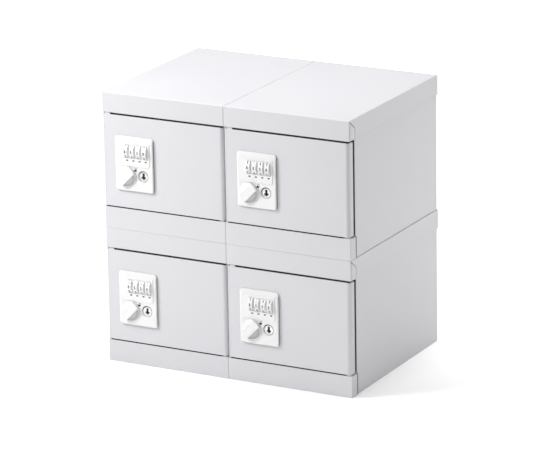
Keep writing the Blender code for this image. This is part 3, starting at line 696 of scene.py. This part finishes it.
slot_half = WHEEL_WIDTH / 2 + SLOT_SIDE_GAP
for across in WHEELS_X:
    ends = (across - slot_half, *WHEEL_AXIS), (across + slot_half, *WHEEL_AXIS)
    cut(plate, cylinder("wheel_slot", WHEEL_RADIUS + SLOT_END_GAP, *ends, sides=96))
cut(
    plate,
    cylinder("shaft_hole", SHAFT_HOLE, (*KNOB_PLACE, BELOW_PLATE), (*KNOB_PLACE, ABOVE_PLATE)),
    cylinder("key_pocket", POCKET, (*KEY_PLACE, POCKET_FLOOR), (*KEY_PLACE, ABOVE_PLATE), sides=72),
)
united(
    plate,
    cylinder("key_ring", RING_RADIUS, (*RING_PLACE, RING_FOOT), (*RING_PLACE, RING_TOP), sides=72),
)
cut(
    plate,
    cylinder("plug_hole", PLUG_HOLE, (*KEY_PLACE, BELOW_PLATE), (*KEY_PLACE, ABOVE_PLATE)),
    cube(
        "gasket_rebate",
        (-BESIDE_PLATE[0], -BESIDE_PLATE[1], BELOW_PLATE),
        (BESIDE_PLATE[0], FACE_HIGH[1] - REBATE_MARGIN, REBATE),
    ),
)
fitted(on_door(plate), WHITE_PLASTIC, "door_{tag}_leaf", "lock_plate")


# Shade rings and gaskets. Near-black rings and sheets lie round the ring in each key pocket and in
# the rebate behind each lock plate. They are painted shade: a dark ring in each pocket, and a dark
# line along the door round each plate.

SHADE_RING_TOP, SHADE_GAP, FACE_GAP = 2.8, 0.05, 0.02
PAST_SHADE_RING = (0, 6)
GASKET_GAP = 0.2
GASKET_LEFT, GASKET_HEAD = 1, 2.6
GASKET_CORNER = PLATE_CORNER - 0.3

# Painted shade: a near-black ring on the pocket's floor, for the shade inside the pocket's rim.
shade_ring_foot = POCKET_FLOOR + FACE_GAP
pocket_shade_ring = cylinder(
    "key_pocket_shade_ring", POCKET - SHADE_GAP, (*KEY_PLACE, shade_ring_foot), (*KEY_PLACE, SHADE_RING_TOP), sides=72
)
hole_ends = [(*RING_PLACE, end) for end in PAST_SHADE_RING]
cut(pocket_shade_ring, cylinder("shade_ring_hole", RING_RADIUS + SHADE_GAP, *hole_ends, sides=72))
fitted(on_door(pocket_shade_ring), BLACK_FOAM_PAINTED_SHADE, "door_{tag}_leaf")

# Painted shade: a near-black sheet in the plate's rebate, for the dark line at the plate's edge.
shade_gasket = cube(
    "plate_shade_gasket",
    (FACE_LOW[0] + GASKET_LEFT, FACE_LOW[1] + GASKET_GAP, SHADE_GAP),
    (FACE_HIGH[0] - GASKET_GAP, FACE_HIGH[1] - GASKET_HEAD, REBATE - FACE_GAP),
)
rounded(shade_gasket, UPRIGHTS, GASKET_CORNER, 8)
cut(
    shade_gasket,
    cube(
        "gasket_opening",
        (-half_width, -half_height, BELOW_PLATE),
        (half_width, half_height, PLATE_TOP),
    ),
)
fitted(on_door(shade_gasket), BLACK_FOAM_PAINTED_SHADE, "door_{tag}_leaf")


# Marks on the lock plates. A small index mark for each wheel, and an open padlock sign at the right
# of the knob, are pad-printed in glossy dark ink that lies on the plastic. A shut padlock sign at the
# knob's left is raised in the plate's own white.

INK_THICKNESS = 0.04
MARK_START, MARK_HEIGHT = -0.5, 4.9
MARK_SIZE = (3.4, 1.8)
MARK_ROUNDING = 0.5
OPEN_SIGN, OPEN_SWING = (3.6, -7.9), 0.9
SHUT_SIGN = (-23.6, -6.6)
HOOP_RADIUS, HOOP_HOLE = 1.7, 1.1
CASE_LEFT, CASE_FOOT, CASE_HEAD, CASE_CORNER = -2, -2.2, 0.5, 0.4
HOOP_RISE, LEG_FOOT, GAP_FOOT = 1, 0.3, -1
PAST_INK = 1


def joined(name, pieces):
    """Makes one object of several, as they lie."""
    taken(pieces[0])
    for piece in pieces:
        piece.select_set(True)
    bpy.ops.object.join()
    pieces[0].name = name
    return pieces[0]


def padlock(name, place, swing):
    """A padlock sign with its middle at a place, its shackle raised by swing."""
    x, y = place
    foot, head = PLATE_TOP, PLATE_TOP + INK_THICKNESS
    below, above = foot - PAST_INK, head + PAST_INK
    case = cube("case", (x + CASE_LEFT, y + CASE_FOOT, foot), (x - CASE_LEFT, y + CASE_HEAD, head))
    rounded(case, UPRIGHTS, CASE_CORNER, 3)
    hoop_x, hoop_y = x + swing, y + HOOP_RISE + swing / 2
    hoop = cylinder("hoop", HOOP_RADIUS, (hoop_x, hoop_y, foot), (hoop_x, hoop_y, head))
    leg_low = (hoop_x - HOOP_RADIUS, y + LEG_FOOT, foot)
    united(hoop, cube("legs", leg_low, (hoop_x + HOOP_RADIUS, hoop_y, head)))
    gap_low = (hoop_x - HOOP_HOLE, y + GAP_FOOT, below)
    cut(
        hoop,
        cylinder("hoop_hole", HOOP_HOLE, (hoop_x, hoop_y, below), (hoop_x, hoop_y, above)),
        cube("leg_gap", gap_low, (hoop_x + HOOP_HOLE, hoop_y, above)),
    )
    return on_door(joined(name, [hoop, case]))


ink = Finish("black_pad_print")
ink_coverage = ink.noise(ink.place(), 2400.0)
BLACK_INK = ink.surface(
    Base_Color=ink.blend(ink_coverage, (0.012, 0.012, 0.014), (0.03, 0.03, 0.034)),
    Roughness=0.12 + 0.1 * ink_coverage,
)

marks = []
for across in WHEELS_X:
    low = Vector((across + MARK_START, MARK_HEIGHT, PANEL_TOP))
    mark = cube("index_mark", low, low + Vector((*MARK_SIZE, INK_THICKNESS)))
    marks.append(rounded(mark, folds("right front", "left front"), MARK_ROUNDING, 3))
index_marks = on_door(joined("index_marks", marks))
fitted(index_marks, BLACK_INK, "door_{tag}_leaf")
open_sign = padlock("open_sign", OPEN_SIGN, OPEN_SWING)
fitted(open_sign, BLACK_INK, "door_{tag}_leaf")
shut_sign = padlock("shut_sign", SHUT_SIGN, 0)
fitted(shut_sign, WHITE_PLASTIC, "door_{tag}_leaf")


# Lock housings. Each is a cup of black plastic behind the door, with slots in its side walls that the
# wheels' steel axle lies in. Four cross-slotted screws in its corners draw it against the plate.

HOUSING_LOW, HOUSING_HIGH = (-28.1, -37.1, -19.1), (28.1, 37.1, -1.3)
HOUSING_WALL, HOUSING_CORNER, HOUSING_EDGE = 1.5, 2, 0.8
MOUTH_FOOT, MOUTH_HEAD = -4, 1
SHAFT_BORE = (-22, -16)
AXLE, AXLE_GAP, AXLE_EDGE = 1.2, 0.3, 0.3
PAST_HOUSING = 30
SCREW_PLACE = (23.5, 32.5)
SCREW_RADIUS, SCREW_HEAD, SCREW_FOOT, SCREW_EDGE = 2.7, -19.35, -18, 0.2
CROSS_LENGTH, CROSS_WIDTH, CROSS_FLOOR = 1.7, 0.35, -18.8

casting = Finish("black_moulded_plastic")
casting_grain = casting.noise(casting.place(), 1400.0, 3.0)
BLACK_PLASTIC = casting.surface(
    Base_Color=casting.blend(casting_grain, (0.016, 0.016, 0.018), (0.032, 0.032, 0.034)),
    Roughness=0.42 + 0.2 * casting_grain,
    Normal=casting.relief(casting_grain, 0.03),
)

inner = HOUSING_HIGH[0] - HOUSING_WALL
axle_y, axle_z = WHEEL_AXIS
bore = AXLE + AXLE_GAP
housing = cube("lock_housing", HOUSING_LOW, HOUSING_HIGH)
rounded(housing, UPRIGHTS, HOUSING_CORNER, 5)
rounded(housing, at(z=HOUSING_LOW[2]), HOUSING_EDGE, 3)
walled(housing, HOUSING_WALL)
cut(
    housing,
    cube(
        "mouth",
        (-inner, HOUSING_LOW[1] + HOUSING_WALL, MOUTH_FOOT),
        (inner, HOUSING_HIGH[1] - HOUSING_WALL, MOUTH_HEAD),
    ),
    cylinder("shaft_bore", SHAFT_HOLE, *[(*KNOB_PLACE, end) for end in SHAFT_BORE]),
    cylinder("axle_bore", bore, (-PAST_HOUSING, *WHEEL_AXIS), (PAST_HOUSING, *WHEEL_AXIS)),
    cube(
        "axle_slots",
        (-PAST_HOUSING, axle_y - bore, axle_z),
        (PAST_HOUSING, axle_y + bore, MOUTH_HEAD),
    ),
)
fitted(on_door(housing), BLACK_PLASTIC, "door_{tag}_leaf", "lock_case")

axle_end = HOUSING_HIGH[0]
axle = cylinder("wheel_axle", AXLE, (-axle_end, *WHEEL_AXIS), (axle_end, *WHEEL_AXIS))
rounded(axle, lambda edge: lies(edge, x=axle_end) or lies(edge, x=-axle_end), AXLE_EDGE, 2)
turning_marks(axle, (0, *WHEEL_AXIS))
fitted(on_door(axle), TURNED_STEEL, "door_{tag}_leaf", "dial_axle")

screws = []
for x in (-SCREW_PLACE[0], SCREW_PLACE[0]):
    for y in (-SCREW_PLACE[1], SCREW_PLACE[1]):
        screw = cylinder("screw", SCREW_RADIUS, (x, y, SCREW_HEAD), (x, y, SCREW_FOOT))
        rounded(screw, at(z=SCREW_HEAD), SCREW_EDGE, 2)
        for reach_x, reach_y in ((CROSS_LENGTH, CROSS_WIDTH), (CROSS_WIDTH, CROSS_LENGTH)):
            low = (x - reach_x, y - reach_y, SCREW_HEAD - OVERRUN)
            cut(screw, cube("cross", low, (x + reach_x, y + reach_y, CROSS_FLOOR)))
        screws.append(turning_marks(screw, (x, y, 0)))
housing_screws = on_door(joined("housing_screws", screws))
fitted(housing_screws, TURNED_STEEL, "door_{tag}_leaf")


# Thumbwheels. Four white wheels turn on the axle, each with ten lands that carry the digits, ten
# shallow finger notches between them, and eased rims. The digits are printed round the wheel.

DIGITS = 10
STEP = 360 / DIGITS
NOTCH_TOOL, NOTCH_DEPTH = 3, 0.5
RIM_EASING = 0.4
DIGIT_HEIGHT, DIGIT_SQUEEZE, DIGIT_WEIGHT = 4.4, 0.72, 0.22
CAPITAL_SHARE = 0.7
DIGIT_STRIPS = 6
WELD = 0.002
SHOWN = (8, 5, 3, 8)


def round_wheel(turn, radius):
    """A point at an angle round the wheel, counted from its front towards its top."""
    return Vector((0, radius * math.sin(turn), radius * math.cos(turn)))


def digit(number):
    """A digit printed on its own land: flat lettering, sliced across and laid round the wheel."""
    bpy.ops.object.select_all(action="DESELECT")
    bpy.ops.object.text_add()
    lettering = bpy.context.object.data
    lettering.body = str(number)
    lettering.size = DIGIT_HEIGHT / CAPITAL_SHARE * MM
    lettering.offset = DIGIT_WEIGHT * MM
    lettering.extrude = INK_THICKNESS / 2 * MM
    bpy.ops.object.convert(target="MESH")
    made = bpy.context.object
    made.name = f"digit_{number}"
    ends = [Vector(corner) for corner in made.bound_box]
    centred = Matrix.Translation(-(ends[0] + ends[6]) / 2)
    made.data.transform(Matrix.Diagonal((DIGIT_SQUEEZE, 1, 1, 1)) @ centred)
    opened(made, "FACE", lambda face: True)
    bpy.ops.mesh.remove_doubles(threshold=WELD * MM)
    for strip in range(1, DIGIT_STRIPS):
        height = (strip / DIGIT_STRIPS - 0.5) * DIGIT_HEIGHT * MM
        bpy.ops.mesh.select_all(action="SELECT")
        bpy.ops.mesh.bisect(plane_co=(0, height, 0), plane_no=(0, 1, 0))
    shut(made)
    for point in made.data.vertices:
        x, y, z = point.co
        turn = math.radians(STEP * number) + y / (WHEEL_RADIUS * MM)
        radius = (WHEEL_RADIUS + INK_THICKNESS / 2) * MM + z
        point.co = round_wheel(turn, radius) + Vector((x, 0, 0))
    return made


wheel_half = WHEEL_WIDTH / 2
through = Vector((wheel_half + 1, 0, 0))
wheel = cylinder("thumbwheel", WHEEL_RADIUS, (-wheel_half, 0, 0), (wheel_half, 0, 0), sides=140)
notches = []
for notch in range(DIGITS):
    turn = math.radians(STEP * (notch + 0.5))
    middle = round_wheel(turn, WHEEL_RADIUS - NOTCH_DEPTH + NOTCH_TOOL)
    notches.append(cylinder("notch", NOTCH_TOOL, middle - through, middle + through, sides=64))
cut(wheel, joined("notches", notches), cylinder("wheel_bore", bore, -through, through))
rounded(
    wheel,
    lambda edge: (lies(edge, x=wheel_half) or lies(edge, x=-wheel_half))
    and min(point.co.yz.length for point in edge.verts) > (AXLE + 1) * MM,
    RIM_EASING,
    3,
)
digits = joined("wheel_digits", [digit(number) for number in range(DIGITS)])
for number, (across, shown) in enumerate(zip(WHEELS_X, SHOWN), 1):
    for piece, finish, slot, node in (
        (wheel, WHITE_PLASTIC, "white_plastic", f"dial_{number}"),
        (digits, BLACK_INK, "dark_plastic", None),
    ):
        made = piece.copy()
        made.data = piece.data.copy()
        made.name = f"{piece.name}_{number}"
        bpy.context.collection.objects.link(made)
        made.data.transform(Matrix.Rotation(math.radians(STEP * shown), 4, "X"))
        made.data.transform(Matrix.Translation(Vector((across, *WHEEL_AXIS)) * MM))
        fitted(on_door(made), finish, f"wheel_{number}_{{tag}}", node)
bpy.data.objects.remove(wheel)
bpy.data.objects.remove(digits)


# Turn knobs. Each is moulded in satin white plastic in one with its shaft: a disc with a straight
# grip left standing across it, between two hollows that slope down to the rim. The lower right
# hollow has painted shade: its colour is darkened to grey, darkest a little inside the rim.

KNOB_RADIUS = 15.25
KNOB_BACK, KNOB_FRONT, KNOB_EDGE = 4.3, 9.5, 0.8
GRIP_SIDE = 5.8
HOLLOW_HEAD, HOLLOW_RIM, HOLLOW_EDGE = 8.9, 5.2, 0.5
CREASE_ANGLE = 50
HOLLOW_HALF, HOLLOW_END, ABOVE_KNOB = 18, 20, 12
SHAFT_RADIUS, SHAFT_BACK, SHAFT_FRONT = 3, -22.6, 5
SHADE_START, SHADE_END = 8.0, 13.4
RIM_FADE_START, RIM_FADE_END = 15.0, 14.2


def between(value, low, high):
    """How far a value has come on its way from low to high, eased at both ends."""
    return value.finish.node(
        "MapRange",
        {"interpolation_type": "SMOOTHSTEP"},
        {"Value": value, "From Min": low, "From Max": high},
    )


grip = Finish("satin_white_plastic_painted_shade")
grip_way, grip_reach = from_axis(grip)
grip_height = grip.node("SeparateXYZ", None, {"Vector": grip_way}, outlet="Z")
grip_side = grip.vector_maths("DOT_PRODUCT", grip_way, (0.707, -0.707, 0))
grip_spark = grip.noise(grip.place(), 3200.0, 1.0)
# Painted shade: in the lower right hollow the base colour is blended to grey, darkest a little inside
# the rim and fading out at it.
painted_shade_hollow_mask = between(grip_height, HOLLOW_HEAD, HOLLOW_HEAD - 0.3) * between(grip_side, 0, 1)
inside_rim = between(grip_reach, RIM_FADE_START, RIM_FADE_END)
painted_shade_depth = inside_rim * (0.62 + 0.38 * between(grip_reach, SHADE_START, SHADE_END))
KNOB_PLASTIC_PAINTED_SHADE = grip.surface(
    Base_Color=grip.blend(painted_shade_hollow_mask * painted_shade_depth, (0.81, 0.81, 0.81), (0.4, 0.4, 0.41)),
    Roughness=0.3 + 0.1 * painted_shade_hollow_mask + 0.05 * grip_spark,
    Normal=grip.relief(grip_spark, 0.004),
)

knob = cylinder("turn_knob_grip", KNOB_RADIUS, (0, 0, KNOB_BACK), (0, 0, KNOB_FRONT), sides=128)
rounded(knob, at(z=KNOB_FRONT), KNOB_EDGE, 4)
fall = (HOLLOW_HEAD - HOLLOW_RIM) / (KNOB_RADIUS - GRIP_SIDE) * (HOLLOW_END - GRIP_SIDE)
for turn in (45, 225):
    hollow = cube(
        "hollow", (-HOLLOW_HALF, GRIP_SIDE, HOLLOW_HEAD), (HOLLOW_HALF, HOLLOW_END, ABOVE_KNOB)
    )
    opened(hollow, "EDGE", at(y=HOLLOW_END, z=HOLLOW_HEAD))
    bpy.ops.transform.translate(value=(0, 0, -fall * MM))
    shut(hollow)
    hollow.data.transform(Matrix.Rotation(math.radians(turn), 4, "Z"))
    cut(knob, hollow)
rounded(
    knob,
    lambda edge: edge.calc_face_angle(0) > math.radians(CREASE_ANGLE)
    and all(HOLLOW_RIM - 0.1 < point.co.z / MM < HOLLOW_HEAD + 0.1 for point in edge.verts)
    and all(point.co.xy.length > (KNOB_RADIUS - 0.1) * MM for point in edge.verts),
    HOLLOW_EDGE,
    3,
)
united(knob, cylinder("shaft", SHAFT_RADIUS, (0, 0, SHAFT_BACK), (0, 0, SHAFT_FRONT)))
turning_marks(knob, (0, 0, 0))
fitted(on_door(knob, KNOB_PLACE), KNOB_PLASTIC_PAINTED_SHADE, "knob_{tag}", "turn_knob")


# Latch tongues. Each is a flat tongue stamped from brushed steel strip, on the end of the knob's
# shaft. A turned steel spring clip, open at one side, keeps it there.

TONGUE_FRONT, TONGUE_BACK = -19.6, -21.6
HUB_RADIUS, TIP_RADIUS, TIP_REACH = 6.5, 4, 29
TONGUE_EDGE = 0.25
CLIP_RADIUS, CLIP_HOLE, CLIP_EDGE = 5, 3.05, 0.15
CLIP_BACK, CLIP_FRONT = TONGUE_BACK - 0.7, TONGUE_BACK - 0.05
MOUTH_HALF, PAST_CLIP = 1.6, 7
PAST_TONGUE = (-25, -15)

stamping = Finish("brushed_steel_strip")
stamping_place = stamping.node(
    "Mapping", None, {"Vector": stamping.place(), "Scale": (1, 1, 0.05)}
)
stamping_brush = stamping.noise(stamping_place, 2500.0, 3.0)
BRUSHED_STEEL = stamping.surface(
    Base_Color=stamping.blend(stamping_brush, (0.55, 0.55, 0.56), (0.68, 0.68, 0.69)),
    Metallic=1.0,
    Roughness=0.26 + 0.16 * stamping_brush,
    Normal=stamping.relief(stamping_brush, 0.01),
)

hub = cylinder("hub", HUB_RADIUS, (0, 0, TONGUE_BACK), (0, 0, TONGUE_FRONT))
tip = cylinder("tip", TIP_RADIUS, (0, TIP_REACH, TONGUE_BACK), (0, TIP_REACH, TONGUE_FRONT))
tongue = joined("latch_tongue", [hub, tip])
opened(tongue, "FACE", lambda face: True)
bpy.ops.mesh.convex_hull()
bpy.ops.mesh.select_all(action="SELECT")
bpy.ops.mesh.dissolve_limited(angle_limit=math.radians(1))
shut(tongue)
rounded(
    tongue,
    lambda edge: lies(edge, z=TONGUE_BACK) or lies(edge, z=TONGUE_FRONT),
    TONGUE_EDGE,
    2,
)
cut(tongue, cylinder("shaft_hole", SHAFT_HOLE, *[(0, 0, end) for end in PAST_TONGUE]))
fitted(on_door(tongue, KNOB_PLACE), BRUSHED_STEEL, "knob_{tag}", "latch_cam")

clip = cylinder("shaft_clip", CLIP_RADIUS, (0, 0, CLIP_BACK), (0, 0, CLIP_FRONT))
rounded(clip, at(z=CLIP_BACK), CLIP_EDGE, 2)
cut(
    clip,
    cylinder("clip_hole", CLIP_HOLE, *[(0, 0, end) for end in PAST_TONGUE]),
    cube(
        "clip_mouth", (-MOUTH_HALF, -PAST_CLIP, PAST_TONGUE[0]), (MOUTH_HALF, 0, PAST_TONGUE[1])
    ),
)
turning_marks(clip, (0, 0, 0))
fitted(on_door(clip, KNOB_PLACE), TURNED_STEEL, "knob_{tag}")


# Key plugs. Each is a turned and plated brass cylinder, its face a little above the pocket's floor,
# with a warded keyway for the override key. A near-black block inside the keyway is painted shade,
# so that the keyway reads black.

PLUG_RADIUS, PLUG_FACE, PLUG_BACK, PLUG_EDGE = 6.2, 3.0, -17.3, 0.4
KEYWAY_LOW, KEYWAY_HIGH, KEYWAY_DEPTH = (-1.7, -4.8), (2, 4.9), 8
WARD_LOW, WARD_HIGH, WARD_DEPTH = (-3.4, -3.1), (3.8, -0.5), 7
KEYWAY_HEAD, WARD_HEAD = 6, 5.9
SHADE_BLOCK_GAP = 0.05
SHADE_BLOCK_DROP, WARD_DROP = 1.2, 1.3
SHADE_BLOCK_FOOT, WARD_FOOT = -4.9, -3.9

nickel = Finish("nickel_plated_brass")
nickel_bloom = nickel.noise(nickel.place(), 900.0)
BRIGHT_NICKEL = nickel.surface(
    Base_Color=nickel.blend(nickel_bloom, (0.90, 0.90, 0.89), (0.95, 0.95, 0.95)),
    Metallic=1.0,
    Roughness=0.3 + 0.12 * nickel_bloom,
    Normal=nickel.relief(nickel_bloom, 0.01),
)

plug = cylinder("plug_core", PLUG_RADIUS, (0, 0, PLUG_BACK), (0, 0, PLUG_FACE), sides=96)
rounded(plug, at(z=PLUG_FACE), PLUG_EDGE, 4)
keyway = cube(
    "keyway", (*KEYWAY_LOW, PLUG_FACE - KEYWAY_DEPTH), (*KEYWAY_HIGH, KEYWAY_HEAD)
)
ward = cube("keyway_ward", (*WARD_LOW, PLUG_FACE - WARD_DEPTH), (*WARD_HIGH, WARD_HEAD))
cut(plug, united(keyway, ward))
fitted(on_door(plug, KEY_PLACE), BRIGHT_NICKEL, "plug_{tag}", "key_plug")


def within(low, high, foot, head):
    """The corners of a block that lies inside an outline, a small gap from it."""
    return (
        (low[0] + SHADE_BLOCK_GAP, low[1] + SHADE_BLOCK_GAP, foot),
        (high[0] - SHADE_BLOCK_GAP, high[1] - SHADE_BLOCK_GAP, head),
    )


# Painted shade: a near-black block inside the keyway and its ward, so that the keyway reads black.
shade_block_ends = within(KEYWAY_LOW, KEYWAY_HIGH, SHADE_BLOCK_FOOT, PLUG_FACE - SHADE_BLOCK_DROP)
ward_ends = within(WARD_LOW, WARD_HIGH, WARD_FOOT, PLUG_FACE - WARD_DROP)
keyway_shade = cube("keyway_shade_block", *shade_block_ends)
united(keyway_shade, cube("ward_shade_block", *ward_ends))
fitted(on_door(keyway_shade, KEY_PLACE), BLACK_FOAM_PAINTED_SHADE, "plug_{tag}")


# The studio. A pale floor that glows softly towards the back, as a lit sweep does, and four round
# soft lamps: a small one at the upper left, one before the front, one at the right and a large one
# overhead. The camera stands where the photograph was taken from. Places are in metres.

FLOOR_SIZE, FLOOR_DROP = 60, 0.0003
GLOW_START, GLOW_END = -0.12, 0.5
LOCKERS_MIDDLE = (0, 0, 0.2)
CAMERA_PLACE = (2.45724, -4.55239, 1.75257)
CAMERA_TURN, CAMERA_DIP, CAMERA_ROLL = 28.381, 16.759, -1.034


def soft_lamp(name, place, size, power):
    """A round soft lamp at a place, turned to the lockers' middle."""
    lamp = bpy.data.lights.new(name, "AREA")
    lamp.shape = "DISK"
    lamp.size, lamp.energy = size, power
    made = bpy.data.objects.new(name, lamp)
    made.location = place
    aim = Vector(LOCKERS_MIDDLE) - Vector(place)
    made.rotation_euler = aim.to_track_quat("-Z", "Y").to_euler()
    bpy.context.scene.collection.objects.link(made)


bpy.ops.object.select_all(action="DESELECT")
bpy.ops.mesh.primitive_plane_add(size=FLOOR_SIZE, location=(0, 0, -FLOOR_DROP))
floor = bpy.context.object
floor.name = "floor"
sweep = Finish("pale_floor")
sweep_place = sweep.place()
sweep_cloud = sweep.noise(sweep_place, 1.5)
sweep_y = sweep.node("SeparateXYZ", None, {"Vector": sweep_place}, outlet="Y")
sweep_far = between(sweep_y, GLOW_START, GLOW_END)
floor.data.materials.append(
    sweep.surface(
        Base_Color=sweep.blend(sweep_cloud, (0.86, 0.86, 0.86), (0.88, 0.88, 0.88)),
        Roughness=0.9,
        Emission_Color=sweep.blend(sweep_far, (0.15, 0.15, 0.15), (1, 1, 1)),
        Emission_Strength=0.95,
    )
)

soft_lamp("upper_left", place=(-0.87, -0.82, 1.13), size=0.5, power=17)
soft_lamp("front", place=(-0.1, -1.9, 1.807), size=1.0, power=11.9)
soft_lamp("right", place=(1.98, 0.28, 1.704), size=1.2, power=11.2)
soft_lamp("overhead", place=(0.1, 0.3, 2.0), size=1.4, power=26)

world = bpy.data.worlds.new("studio")
world.use_nodes = True
backdrop = world.node_tree.nodes["Background"]
backdrop.inputs["Color"].default_value = (1, 1, 1, 1)
backdrop.inputs["Strength"].default_value = 0.1
bpy.context.scene.world = world
bpy.context.scene.view_settings.view_transform = "Standard"

eye = bpy.data.cameras.new("photograph")
eye.lens = 245.81
eye.sensor_width = 36
eye.clip_end = 100
camera = bpy.data.objects.new("photograph", eye)
camera.matrix_world = (
    Matrix.Translation(CAMERA_PLACE)
    @ Matrix.Rotation(math.radians(CAMERA_TURN), 4, "Z")
    @ Matrix.Rotation(math.radians(90 - CAMERA_DIP), 4, "X")
    @ Matrix.Rotation(math.radians(CAMERA_ROLL), 4, "Z")
)
bpy.context.scene.collection.objects.link(camera)
bpy.context.scene.camera = camera
